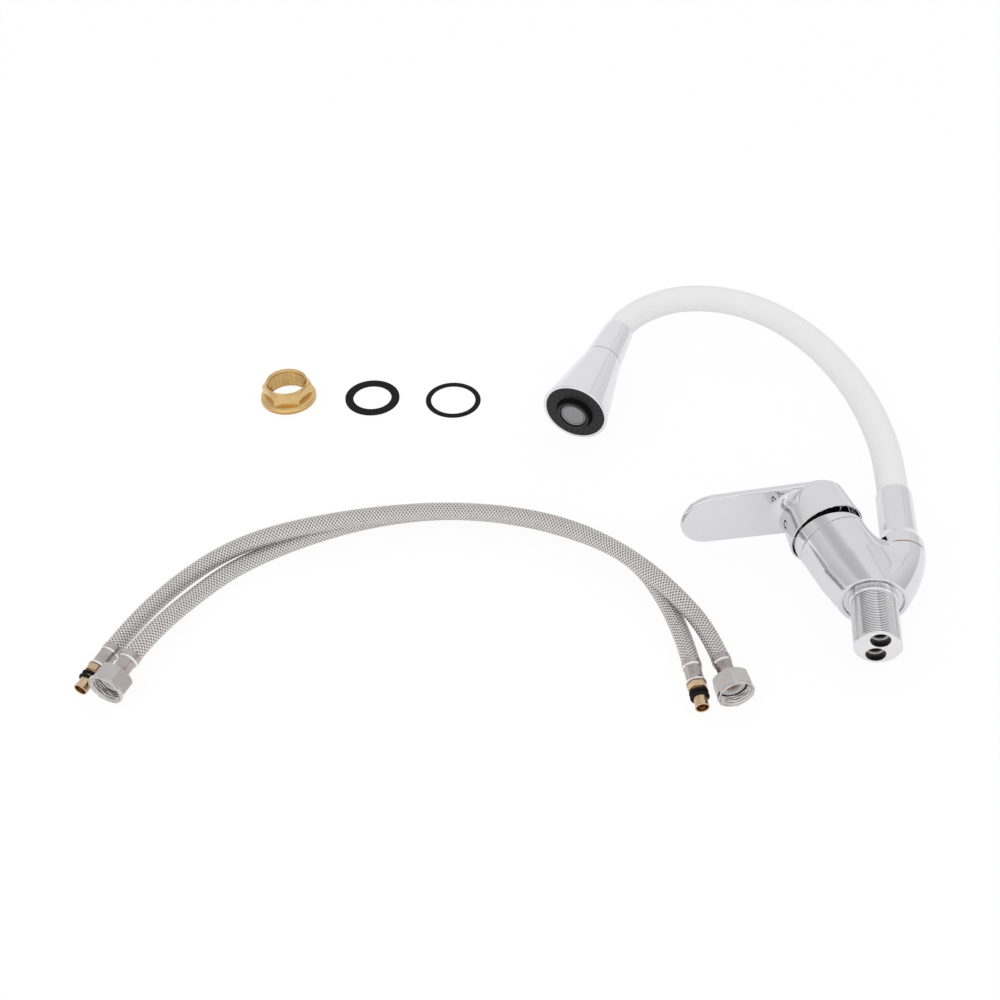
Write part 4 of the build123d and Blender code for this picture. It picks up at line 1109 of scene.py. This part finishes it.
def sprayNozzles():
    # one nozzle with an open tip, repeated on the plate's rings
    setup = plateSetup
    radius, face, tip = setup["nozzle"], setup["face"], setup["face"] - setup["proud"]
    rows = [circle(*row, 12) for row in (
        (radius + 0.25, face + 0.1), (radius, face - setup["proud"] * 0.6), (radius - 0.1, tip), (radius - 0.28, tip),
        (radius - 0.3, face + 0.05),
    )]
    shape = Shape()
    shape.grid(rows)
    shape.fan(rows[-1], (0, 0, face + 0.05))
    shape.fan(rows[0], (0, 0, face + 0.1))
    seed = seedPiece("nozzle", shape)
    mesh = ringsOf("sprayNozzles", seed, setup["rings"], blackRubber)
    bpy.data.objects.remove(seed)
    return placeRings("sprayNozzles", mesh, headPlace, blackRubber)


nozzles = sprayNozzles()
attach(nozzles, "spray_head")


def screenDisc():
    # a flat face made of cells with one hole each, and the rolled rim round it
    setup = screenSetup
    front = setup["front"]
    shape = Shape()
    radii = [ring[0] for ring in setup["rings"]]
    middles = [(first + after) / 2 for first, after in zip(radii, radii[1:])]
    edges = [setup["radius"] - setup["rim"], *middles, 0.0]
    corners = ((0, 0), (0, 1), (None, 1), (1, 1), (1, 0), (1, -1), (None, -1), (0, -1))
    spokes = evenTurns(8)
    for index, ((radius, count, start), hole) in enumerate(zip(setup["rings"], setup["hole"])):
        for turn in np.arange(count) * 2 * math.pi / count + start:
            # each hole sits in a cell that runs half way to its neighbours
            outline = []
            for side, across in corners:
                reach = radius if side is None else edges[index + side]
                at = turn + across * math.pi / count
                outline.append((reach * math.cos(at), reach * math.sin(at), front))
            middle = np.array([radius * math.cos(turn), radius * math.sin(turn), front])
            rim = [middle + hole * np.array([math.cos(turn + spoke), math.sin(turn + spoke), 0]) for spoke in spokes]
            shape.grid([outline, rim, np.array(rim) + np.array([0, 0, setup["wall"]])])
    rim = []
    for turn in np.linspace(0, math.pi / 2, 7):
        reach = setup["radius"] - setup["rim"] * (1 - math.sin(turn))
        rim.append(circle(reach, front - 0.3 * math.cos(turn) * math.sin(turn) * 2, 96))
    outside = [circle(setup["radius"], front + depth, 96) for depth in (0.1, setup["thick"])]
    shape.grid(rim + outside)
    made = shape.toObject("aeratorScreen", headPlace, screenSteel, 50.0, False)
    discRadius = setup["radius"] - setup["rim"] - 0.05

    # the walls of the holes take the black of painted shade
    def pick(spot):
        return int(spot.z > front + 0.02 and math.hypot(spot.x, spot.y) < discRadius)

    paintFaces(made, headPlace, pick, shadedPlastic)
    return made


def screenCup():
    # the cup behind the screen, in black as painted shade
    setup = screenSetup
    deep = setup["front"] + setup["floor"]
    inner, outer, lip = setup["radius"] - 0.15, plateSetup["bore"] - 0.02, setup["front"] + 0.3
    corners = [(0.0, deep, 0.0), (inner, deep, 0.0), (inner, lip, 0.0), (outer, lip, 0.0), (outer, deep + 0.6, 0.0),
               (0.0, deep + 0.6, 0.0)]
    return lathe("screenCup", corners, headPlace, shadedPlastic, 96)


screen, cup = screenDisc(), screenCup()
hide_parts("aerator_mesh")
for piece, slotName in ((screen, "steel"), (cup, "black_plastic")):
    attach(piece, "spray_head")
print("spray face ready")


# Brass nut and flat rings

nutSetup = {
    "flats": 38.6, "height": 19.0, "flange": 25.0, "flangeHeight": 6.0, "bore": 15.75, "crown": 18.4,
    "pitch": 1.5, "depth": 0.7, "around": 180, "turn": 34.6, "place": (-0.24797, 0.10341, 0.0),
}


def lockNut():
    setup = nutSetup
    height, flange, wide, narrow = setup["height"], setup["flangeHeight"], setup["flange"], setup["crown"]
    crown = interpolated((
        (0, 99), (height - 5.2, wide), (height - 4.4, narrow + 3.6), (height - 2.6, narrow + 1.5),
        (height - 1.6, narrow + 0.6), (height - 0.5, narrow + 0.3), (height, narrow - 0.2)))
    rim = interpolated((
        (0, wide - 0.9), (0.3, wide - 0.35), (0.9, wide), (flange - 3.4, wide), (flange - 2.4, wide - 0.25),
        (flange - 1.5, wide - 0.8), (flange - 0.8, wide - 1.6), (flange - 0.3, wide - 2.7), (flange, wide - 4.4),
        (flange + 0.02, 0)))

    grooveRadius = setup["bore"] + setup["depth"]

    def outer(level, turns):
        hexagonal = np.minimum(hexRadius(setup["flats"], turns), crown(level))
        return np.maximum(hexagonal, rim(level))

    def inner(level, turns):
        fade = min(1.0, max(0.0, (level - 1.5) / 1.2), max(0.0, (height - 2.2 - level) / 1.2))
        mouth = max(0.0, 1.6 - level) * 0.9 + max(0.0, level - height + 2.0)
        return threadRadius(turns, level, setup["pitch"], grooveRadius + mouth, setup["depth"], fade)

    levels = [0, 0.15, 0.3, 0.6, 0.9] + np.linspace(flange - 3.4, flange, 18).tolist() + [flange + 0.02, flange + 0.3]
    levels += np.arange(flange + 1, height - 4, 1.2).tolist() + np.linspace(height - 4, height, 22).tolist()
    shape = Shape()
    outside = wallRows(levels, setup["around"], outer)
    inside = wallRows(np.arange(0, height + 0.01, setup["pitch"] / 8).tolist() + [height], setup["around"], inner)
    shape.grid(inside[::-1] + outside + inside[-1:])
    turn = Matrix.Rotation(math.radians(setup["turn"] + 30), 4, "Z") @ Matrix.Scale(mm, 4)
    place = Matrix.Translation(setup["place"]) @ turn
    made = shape.toObject("lockNut", place, brass, 24.0)

    def pick(spot):
        reach = math.hypot(spot.x, spot.y)
        # painted shade on the low band of the flange rim
        if reach > wide - 1.2 and spot.z < 2.0:
            return 2
        # painted shade in the thread roots
        inGroove = setup["bore"] + setup["depth"] * 0.5 < reach < grooveRadius + 0.05
        return int(inGroove and 1.6 < spot.z < height - 2.0)

    paintFaces(made, place, pick, nutGrooveShade, rimShadeBrass)
    return made


nut = lockNut()
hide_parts("lock_nut")
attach(nut, "kit")

flatRings = {
    "deckGasket": {"node": "deck_gasket", "bore": 17.25, "radius": 24.5, "thickness": 2.0, "edge": 0.35},
    "baseGasket": {"node": "base_ring_gasket", "bore": 20.0, "radius": 24.85, "thickness": 1.6, "edge": 0.7},
}
for name, setup in flatRings.items():
    low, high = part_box(setup["node"])
    place = Matrix.Translation(((low.x + high.x) / 2, (low.y + high.y) / 2, low.z)) @ Matrix.Scale(mm, 4)
    corners = ringCorners(setup["bore"], setup["radius"], 0, setup["thickness"], setup["edge"])
    gasket = lathe(name, corners, place, blackRubber)
    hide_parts(setup["node"])
    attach(gasket, "kit")
print("nut and gaskets ready")


# Supply hose fittings

fittingSetup = {
    "tip": 5.1, "tipBore": 4.0, "tipLength": 7.6, "ringLow": 7.9, "ring": 6.9, "ringWidth": 2.5, "ringGap": 1.1,
    "hexLow": 15.1, "hexHigh": 20.1, "hexFlats": 12.4, "ferruleLow": 20.2, "ferruleLength": 20.0,
    "waist": 6.4, "lip": 7.3, "bulge": 7.3, "grip": 5.6, "barb": 3.9, "barbBore": 2.9, "hose": 6.5,
    "unionFlats": 24.0, "unionRim": 13.4, "unionRimHeight": 3.2, "unionHeight": 14.8, "unionBore": 10.2,
    "unionMouth": 12.2, "unionBack": 3.2, "unionNeck": 6.05, "unionFerruleLow": 15.1, "unionFerruleLength": 18.3,
    "unionPitch": 1.81, "unionDepth": 1.0, "barbLength": 12,
}
supplySetup = {
    "a": {
        "tip": (-0.34817, -0.23039, 0.00735), "tipHeading": 21.1, "tipRun": 32.1, "unionRun": 29.6,
        "route": (
            (-0.30077, -0.13169, 0.0080), (-0.27027, -0.10599, 0.0142), (-0.23627, -0.09219, 0.0206),
            (-0.19427, -0.07839, 0.0209), (-0.14827, -0.06699, 0.0192), (-0.09827, -0.06109, 0.0178),
            (-0.04727, -0.06599, 0.0180), (-0.00427, -0.08019, 0.0188), (0.02973, -0.10339, 0.0202),
            (0.05523, -0.12969, 0.0212), (0.07573, -0.15669, 0.0200),
        ),
        "tipFirst": True, "length": 0.5637, "hexTurn": 18.0,
    },
    "b": {
        "tip": (0.08263, -0.24569, 0.00735), "tipHeading": -4.7, "tipRun": 29.1, "unionRun": 26.5,
        "route": (
            (-0.28607, -0.14409, 0.0074), (-0.25837, -0.11179, 0.0067), (-0.21367, -0.08269, 0.0066),
            (-0.16127, -0.06069, 0.0066), (-0.10327, -0.05019, 0.0066), (-0.04527, -0.05619, 0.0066),
            (0.00573, -0.07469, 0.0066), (0.04173, -0.09769, 0.0066), (0.06223, -0.12919, 0.0066),
        ),
        "tipFirst": False, "length": 0.5593, "hexTurn": 2.0,
    },
}


def tailBody(name, place):
    # tube tip with ring seats, hexagon and the barb that goes into the hose
    setup = fittingSetup
    tip, thin, barb = setup["tip"], setup["tip"] - 0.9, setup["barb"]
    hexLow, hexHigh, flats = setup["hexLow"], setup["hexHigh"], setup["hexFlats"]
    tipHigh, end = setup["tipLength"], setup["ferruleLow"] + setup["barbLength"]
    ringLow, width, gap = setup["ringLow"], setup["ringWidth"], setup["ringGap"]
    ringHigh, nextLow, nextHigh = ringLow + width, ringLow + width + gap, ringLow + 2 * width + gap
    outside = interpolated((
        (0, tip - 0.35), (0.3, tip - 0.05), (0.7, tip), (1.5, tip - 0.25), (tipHigh - 0.8, tip - 0.3), (tipHigh, tip),
        (ringLow, tip), (ringLow + 0.05, thin), (ringHigh, thin), (ringHigh + 0.05, tip), (nextLow, tip),
        (nextLow + 0.05, thin), (nextHigh, thin), (nextHigh + 0.05, tip), (hexHigh, tip), (hexHigh + 0.05, barb),
        (end, barb)))
    chamfer = interpolated((
        (0, 0), (hexLow - 0.01, 0), (hexLow, flats / 2 + 0.1), (hexLow + 0.5, flats * 0.58),
        (hexHigh - 0.5, flats * 0.58), (hexHigh, flats / 2 + 0.1), (hexHigh + 0.01, 0)))

    def outer(level, turns):
        hexagonal = np.minimum(hexRadius(flats, turns), chamfer(level))
        return np.maximum(outside(level), hexagonal)

    steps = [tipHigh - 0.8, tipHigh, hexLow - 0.01, hexHigh + 0.01, hexHigh + 0.06, end]
    steps += [seat + edge for seat in (ringLow, ringHigh, nextLow, nextHigh) for edge in (0, 0.05)]
    chamfers = [np.linspace(hexLow, hexLow + 0.5, 5), np.linspace(hexHigh - 0.5, hexHigh, 5)]
    levels = sorted(set(np.round(np.concatenate([np.linspace(0, 1.5, 7), steps, *chamfers]), 3)))
    shape = Shape()
    tipBore, barbBore = setup["tipBore"], setup["barbBore"]
    bore = [circle(radius, height, 72) for radius, height in (
        (tipBore + 0.45, 0), (tipBore + 0.1, 0.35), (tipBore, 0.9), (tipBore, 6.5), (barbBore, 8.5), (barbBore, end))]
    outsideRows = wallRows(levels, 72, outer)
    shape.grid(bore[::-1] + outsideRows + bore[-1:])
    return shape.toObject(name, place, tailBrass, 28.0)


def tailRings(name, place):
    setup = fittingSetup
    shape = Shape()
    for step in range(2):
        middle = setup["ringLow"] + setup["ringWidth"] * (step + 0.5) + setup["ringGap"] * step
        rows = []
        for turn in np.linspace(0, 2 * math.pi, 17):
            radius = setup["ring"] - 1.25 + 1.25 * math.cos(turn)
            rows.append(circle(radius, middle + setup["ringWidth"] / 2 * math.sin(turn), 72))
        shape.grid(rows)
    return shape.toObject(name, place, blackRubber, 60.0, False)


def crimpedFerrule(name, place, low, length, lip):
    # the bulge at the hose's end and eight shallow crimp flats round the waist
    setup = fittingSetup
    high = low + length
    gripLow = high - setup["grip"]
    waist, bulge, rim, barb = setup["waist"], setup["bulge"], setup["lip"], setup["barb"] + 0.05
    points = [(low, waist - 0.2), (low + 0.3, waist)]
    if lip:
        points = [(low, rim - 0.25), (low + 0.3, rim), (low + 1.5, rim), (low + 2.4, waist + 0.3), (low + 3.6, waist)]
    points += [(gripLow - 1.5, waist), (gripLow - 1.0, waist + 0.08), (gripLow + 0.2, bulge - 0.12),
               (gripLow + 0.6, bulge), (gripLow + 1.6, bulge), (gripLow + 2.4, bulge - 0.2),
               (gripLow + 3.2, bulge - 0.3), (high - 0.5, bulge - 0.3), (high - 0.15, bulge - 0.38),
               (high, bulge - 0.55)]
    profile = interpolated(points)

    def outer(level, turns):
        waistShare = smoothStep(low + 3.0, low + 5.0, level)
        waistShare = waistShare * (1 - smoothStep(gripLow - 2.5, gripLow - 0.5, level))
        sector = np.mod(turns, math.pi / 4) - math.pi / 8
        flat = (waist - 0.12) * math.cos(math.pi / 8) / np.cos(sector) + 0.18
        return profile(level) * (1 - waistShare) + np.minimum(profile(level), flat) * waistShare

    levels = np.concatenate([np.linspace(low, low + 4, 16), np.linspace(low + 4.5, gripLow - 1.9, 8),
                             np.linspace(gripLow - 1.5, high, 26)]).tolist()
    inside = [circle(setup["hose"] - 0.3, high, 96), circle(setup["hose"] - 0.3, gripLow, 96),
              circle(barb, gripLow, 96), circle(barb, low, 96)]
    shape = Shape()
    outside = wallRows(levels, 96, outer)
    shape.grid(outside + inside + outside[:1])
    made = shape.toObject(name, place, steel, 34.0)

    def pick(spot):
        # painted highlight on the edges of the grip and the lip
        return int(gripLow - 0.75 < spot.z < gripLow + 0.35 or (lip and low + 0.3 < spot.z < low + 1.6))

    paintFaces(made, place, pick, edgeHighlightSteel)
    return made


def unionNut(name, place, turn):
    # hexagon that runs into a round polished rim, with a threaded mouth
    setup = fittingSetup
    height, rimHeight = setup["unionHeight"], setup["unionRimHeight"]
    wide, half, bore, depth = setup["unionRim"], setup["unionFlats"] / 2, setup["unionBore"], setup["unionDepth"]
    corner = half / math.cos(math.pi / 6)
    flare = setup["unionMouth"] - bore - 1.6
    crown = interpolated((
        (0, wide), (rimHeight - 1.0, wide), (rimHeight, corner + 0.3), (height - 2.0, corner + 0.3),
        (height - 1.1, corner - 0.35), (height - 0.3, corner - 1.2), (height, corner - 1.7)))
    rim = interpolated((
        (0, wide - 0.7), (0.2, wide - 0.25), (0.7, wide), (rimHeight - 1.4, wide), (rimHeight - 0.2, half + 0.3),
        (rimHeight + 0.4, half), (rimHeight + 0.5, 0)))

    def outer(level, turns):
        hexagonal = np.minimum(hexRadius(setup["unionFlats"], turns), crown(level))
        return np.maximum(hexagonal, rim(level))

    deep = height - setup["unionBack"]

    def inner(level, turns):
        fade = min(1.0, max(0.0, (level - 1.0) / 0.8), max(0.0, (deep - 4.0 - level) / 0.8))
        mouth = (1 - smoothStep(0.6, 1.4, level)) * 0.6 + max(0.0, 0.6 - level) / 0.6 * flare
        return threadRadius(turns, level, setup["unionPitch"], bore + depth + mouth, depth, fade)

    levels = [0, 0.1, 0.2, 0.45, 0.7] + np.linspace(1.0, rimHeight + 0.6, 22).tolist()
    levels += np.linspace(rimHeight + 1.2, height - 2.2, 6).tolist() + np.linspace(height - 2.0, height, 10).tolist()
    outside = wallRows(levels, 144, outer)
    inside = wallRows(np.arange(0, deep, 0.24).tolist() + [deep], 144, inner)
    back = [circle(setup["unionNeck"], deep, 144), circle(setup["unionNeck"], height, 144)]
    shape = Shape()
    shape.grid(outside + back[::-1] + inside[::-1] + outside[:1])
    return shape.toObject(name, place @ Matrix.Rotation(math.radians(turn), 4, "Z"), nickel, 28.0)


def braidRadius(at, turns):
    # strands of two hands that pass over and under each other
    setup = braidSetup
    along = (at / mm / setup["lead"])[:, None]
    around = (turns / (2 * math.pi))[None, :]
    first, second = (around - along) * setup["strands"], (around + along) * setup["strands"]
    over = np.sin(math.pi * first) * np.sin(math.pi * second)
    arches = [np.sqrt(np.clip(1 - (2 * (phase - np.floor(phase)) - 1)**2 * 0.93, 0, 1)) for phase in (first, second)]
    relief, sag = setup["relief"], over * setup["sag"]
    height = np.maximum(arches[0] * relief + sag, arches[1] * relief - sag)
    return (fittingSetup["hose"] - 0.38 + height) * mm


def supplyHose(letter, setup):
    fitting = fittingSetup
    heading = math.radians(setup["tipHeading"])
    tipPlace = placeMatrix(setup["tip"], (math.sin(heading), math.cos(heading), 0))
    unionPlace = jointPlace("union_" + letter + "_spin", layout["unionJoint"])
    tipStart = fitting["ferruleLow"] + fitting["ferruleLength"] - fitting["grip"]
    unionStart = fitting["unionFerruleLow"] + fitting["unionFerruleLength"] - fitting["grip"]
    tipEnd = [tipPlace @ Vector((0, 0, along)) for along in (tipStart, tipStart + setup["tipRun"])]
    unionEnd = [unionPlace @ Vector((0, 0, along)) for along in (unionStart, unionStart + setup["unionRun"])]
    firstEnd, lastEnd = (tipEnd, unionEnd) if setup["tipFirst"] else (unionEnd, tipEnd)
    route = [*firstEnd, *setup["route"], *lastEnd[::-1]]
    line = splineLine(route)
    rows, at = resampled(line, braidSetup["rows"])
    braid = braidSetup
    stem, title = "supply_" + letter + "_", "supply" + letter.upper()
    hoseName = "supplyHose" + letter.upper()
    hose = tubeObject(hoseName, rows, braid["around"], braidRadius, steelBraid, braid["lead"] * mm)
    tipSpan = (fitting["ferruleLow"], fitting["ferruleLength"])
    unionSpan = (fitting["unionFerruleLow"], fitting["unionFerruleLength"])
    pieces = [
        (tailBody(title + "Tail", tipPlace), "tail", "brass", "kit"),
        (tailRings(title + "Rings", tipPlace), "tail_rings", "black_rubber", "kit"),
        (crimpedFerrule(title + "TipFerrule", tipPlace, *tipSpan, True), "tail_ferrule", "steel", "kit"),
        (crimpedFerrule(title + "UnionFerrule", unionPlace, *unionSpan, False), "union_ferrule", "steel", "kit"),
        (unionNut(title + "UnionNut", unionPlace, setup["hexTurn"]), "union_nut", "nickel", "union_" + letter),
    ]
    for piece, node, slot, bodyName in pieces:
        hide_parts(stem + node)
        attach(piece, bodyName)
    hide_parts(stem + "hose")
    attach(hose, "kit")
    onHose = [piece for piece, *rest in pieces]
    onHose += [frame["nodes"][stem + "union_tail"], frame["nodes"][stem + "union_washer"]]
    tuple(unionEnd[0])


for letter, setup in supplySetup.items():
    supplyHose(letter, setup)
print("supply hoses ready")


# Spout hose in two pieces that meet in its middle span

spoutSetup = {
    "radius": 12.0, "inSleeve": 35.0, "aboveSleeve": 95.8, "aboveHead": 121.3, "inHead": 87.3,
    "route": (
        (0.26153, 0.00781, 0.0302), (0.25863, 0.05181, 0.0316), (0.24773, 0.09831, 0.0339),
        (0.22703, 0.14281, 0.0369), (0.19623, 0.17931, 0.0396), (0.15773, 0.19981, 0.0413),
        (0.11873, 0.20201, 0.0416), (0.09623, 0.19461, 0.0412), (0.07713, 0.18321, 0.0406),
        (0.06373, 0.17061, 0.0400),
    ),
    "length": 0.4809, "split": (0.2122, 0.1620),
    "lowBend": ((0.2573, 0.0502, 0.032), (0.2480, 0.0985, 0.034)),
    "highBend": ((0.1582, 0.1999, 0.041), (0.1186, 0.2018, 0.041)),
}


def plainRadius(at, turns):
    return np.full((len(at), len(turns)), spoutSetup["radius"] * mm)


spoutRoute = [outletPlace @ Vector((0, 0, along)) for along in (spoutSetup["inSleeve"], spoutSetup["aboveSleeve"])]
spoutRoute += list(spoutSetup["route"])
spoutRoute += [headPlace @ Vector((0, 0, along)) for along in (spoutSetup["aboveHead"], spoutSetup["inHead"])]
spoutLine, spoutAt = resampled(splineLine(spoutRoute), 401)
splitAt = int(np.argmin(np.linalg.norm(spoutLine[:, :2] - np.array(spoutSetup["split"]), axis=1)))
spoutSpans = (
    ("spoutHoseLower", spoutLine[:splitAt + 1], ("spout_foot", "spout_middle"), "lowBend",
     ("spout_hose_lower", "spout_hose_middle"), 0),
    ("spoutHoseUpper", spoutLine[splitAt:], ("spout_middle", "spout_end"), "highBend", ("spout_hose_upper",), -1),
)
for name, line, bodies, bend, nodes, exitIndex in spoutSpans:
    hose = tubeObject(name, line, 64, plainRadius, silicone, braidSetup["lead"] * mm)
    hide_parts(*nodes)
    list(bodies)
    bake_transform(hose)
    spanLength = float(np.linalg.norm(np.diff(line, axis=0), axis=1).sum())
    tuple(line[exitIndex])
    [tuple(point) for point in line]
print("spout hose ready")


# Finishes on the frame's own pieces

nodeFinishes = {
    "set_screw": threadChrome, "spindle": brass, "thrust_ring": brass, "outlet_nipple": brass, "cartridge_nut": brass,
    "pivot_pin": steel, "dust_cover": blackPlastic, "nipple_rings": blackRubber, "cartridge_seals": blackRubber,
    "cartridge_base": cartridgePlastic, "cartridge_housing": cartridgePlastic, "cartridge_rotor": cartridgePlastic,
    "disc_carrier": cartridgePlastic, "fixed_disc": ceramic, "moving_disc": ceramic, "aerator_housing": blackPlastic,
    "water_guide": cartridgePlastic, "sleeve_hose_tail": tailBrass, "head_hose_tail": tailBrass,
    "supply_a_union_tail": tailBrass, "supply_b_union_tail": tailBrass,
    "supply_a_union_washer": greyFibre, "supply_b_union_washer": greyFibre,
}
for name, material in nodeFinishes.items():
    mesh = frame["nodes"][name].data
    mesh.materials.clear()
    mesh.materials.append(material)


# Floor, world and lamp

stageSetup = {
    "floor": 6.0, "floorDrop": 0.0004, "light": 0.95, "floorColour": (0.93, 0.93, 0.93), "background": 0.94,
    # what metal shows: the tent, its darker sides, a soft dark opening and the corner of the back
    "metalFloor": 0.98, "metalShare": 0.55, "tent": 0.88, "sides": 0.26,
    "opening": (-0.47, 0.30, 0.83), "openingFrom": 0.90, "openingTo": 0.985, "openingDepth": 0.27,
    "stripLow": 0.20, "stripHigh": 0.50, "stripSoft": 0.08, "stripFront": 0.6, "stripSlope": 8, "stripLight": 0.42,
    "corner": 40.0, "cornerHalf": 0.022, "cornerDepth": 0.11, "pastCorner": 0.015,
}


def shownTo(nodes, *rays):
    # 1 for rays of the named kinds
    path = nodes.add("ShaderNodeLightPath")
    total = nodes.value(path, rays[0])
    for name in rays[1:]:
        total = total + nodes.value(path, name)
    return total.clamped(0.0, 1.0)


def studioWorld():
    # even light for matt surfaces, white for the camera, and the studio tent for metal
    setup = stageSetup
    world = bpy.data.worlds.new("studio")
    world.use_nodes = True
    bpy.context.scene.world = world
    nodes = Nodes(world.node_tree)
    background = world.node_tree.nodes["Background"]
    coordinates = nodes.add("ShaderNodeTexCoord")
    split = nodes.add("ShaderNodeSeparateXYZ", {}, {0: coordinates.outputs["Generated"]})
    x, y, z = (nodes.value(split, axis) for axis in range(3))
    toOpening = x * setup["opening"][0] + y * setup["opening"][1] + z * setup["opening"][2]
    opening = ((toOpening - setup["openingFrom"]) / (setup["openingTo"] - setup["openingFrom"])).clamped(0.0, 1.0)
    aboveStrip = ((setup["stripHigh"] - z) / setup["stripSoft"]).clamped(0.0, 1.0)
    strip = ((z - setup["stripLow"]) / setup["stripSoft"]).clamped(0.0, 1.0) * aboveStrip
    strip = strip * ((0 - y - setup["stripFront"]) * setup["stripSlope"]).clamped(0.0, 1.0)
    turn = math.radians(setup["corner"])
    fromCorner = x * math.cos(turn) - y * math.sin(turn)
    behind = y > 0.0
    corner = (fromCorner.size() < setup["cornerHalf"]) * behind
    past = (fromCorner > 0.0) * behind
    tent = setup["tent"] - x * x * x * x * setup["sides"] - opening * setup["openingDepth"]
    tent = tent + strip * setup["stripLight"] - corner * setup["cornerDepth"] - past * setup["pastCorner"]
    white = shownTo(nodes, "Is Camera Ray", "Is Transmission Ray")
    metal = shownTo(nodes, "Is Glossy Ray")
    plain = setup["light"] * (1 - white) * (1 - metal)
    nodes.connect(background.inputs["Color"], plain + white + tent * metal)
    background.inputs["Strength"].default_value = 1.0


def floorPlane():
    # white to the camera, a little darker in metal, with a share of its own shading that keeps the shadow
    setup = stageSetup
    size, low = setup["floor"], cadLow.z - setup["floorDrop"]
    mesh = bpy.data.meshes.new("floor")
    corners = [(-size, -size, low), (size, -size, low), (size, size, low), (-size, size, low)]
    mesh.from_pydata(corners, [], [(0, 1, 2, 3)])
    material = bpy.data.materials.new("floor")
    material.use_nodes = True
    nodes = Nodes(material.node_tree)
    shader = material.node_tree.nodes["Principled BSDF"]
    shader.inputs["Base Color"].default_value = rgba(*setup["floorColour"])
    shader.inputs["Roughness"].default_value = 0.95
    shader.inputs["Specular IOR Level"].default_value = 0.0
    metal = shownTo(nodes, "Is Glossy Ray")
    tone = nodes.mixColour(metal, rgba(1, 1, 1), rgba(*[setup["metalFloor"]] * 3))
    glow = nodes.add("ShaderNodeEmission", {}, {"Color": tone, "Strength": 1.0})
    share = shownTo(nodes, "Is Camera Ray", "Is Transmission Ray") * setup["background"] + metal * setup["metalShare"]
    mixed = nodes.add("ShaderNodeMixShader", {}, {0: share, 1: shader.outputs[0], 2: glow.outputs[0]})
    nodes.connect(material.node_tree.nodes["Material Output"].inputs["Surface"], mixed.outputs[0])
    floor = link("floor", mesh, material)


studioWorld()
floorPlane()
lampSetup = {"place": (-0.4, -1.1, 0.9), "size": 1.2, "power": 3.8}
lampData = bpy.data.lights.new("keyLamp", "AREA")
lampData.energy, lampData.size = lampSetup["power"], lampSetup["size"]
lamp = bpy.data.objects.new("keyLamp", lampData)
lamp.location = lampSetup["place"]
lamp.rotation_euler = (-Vector(lampSetup["place"])).to_track_quat("-Z", "Y").to_euler()
lamp.visible_glossy = False
bpy.context.scene.collection.objects.link(lamp)
bpy.context.scene.view_settings.view_transform = "Standard"
print("stage ready")
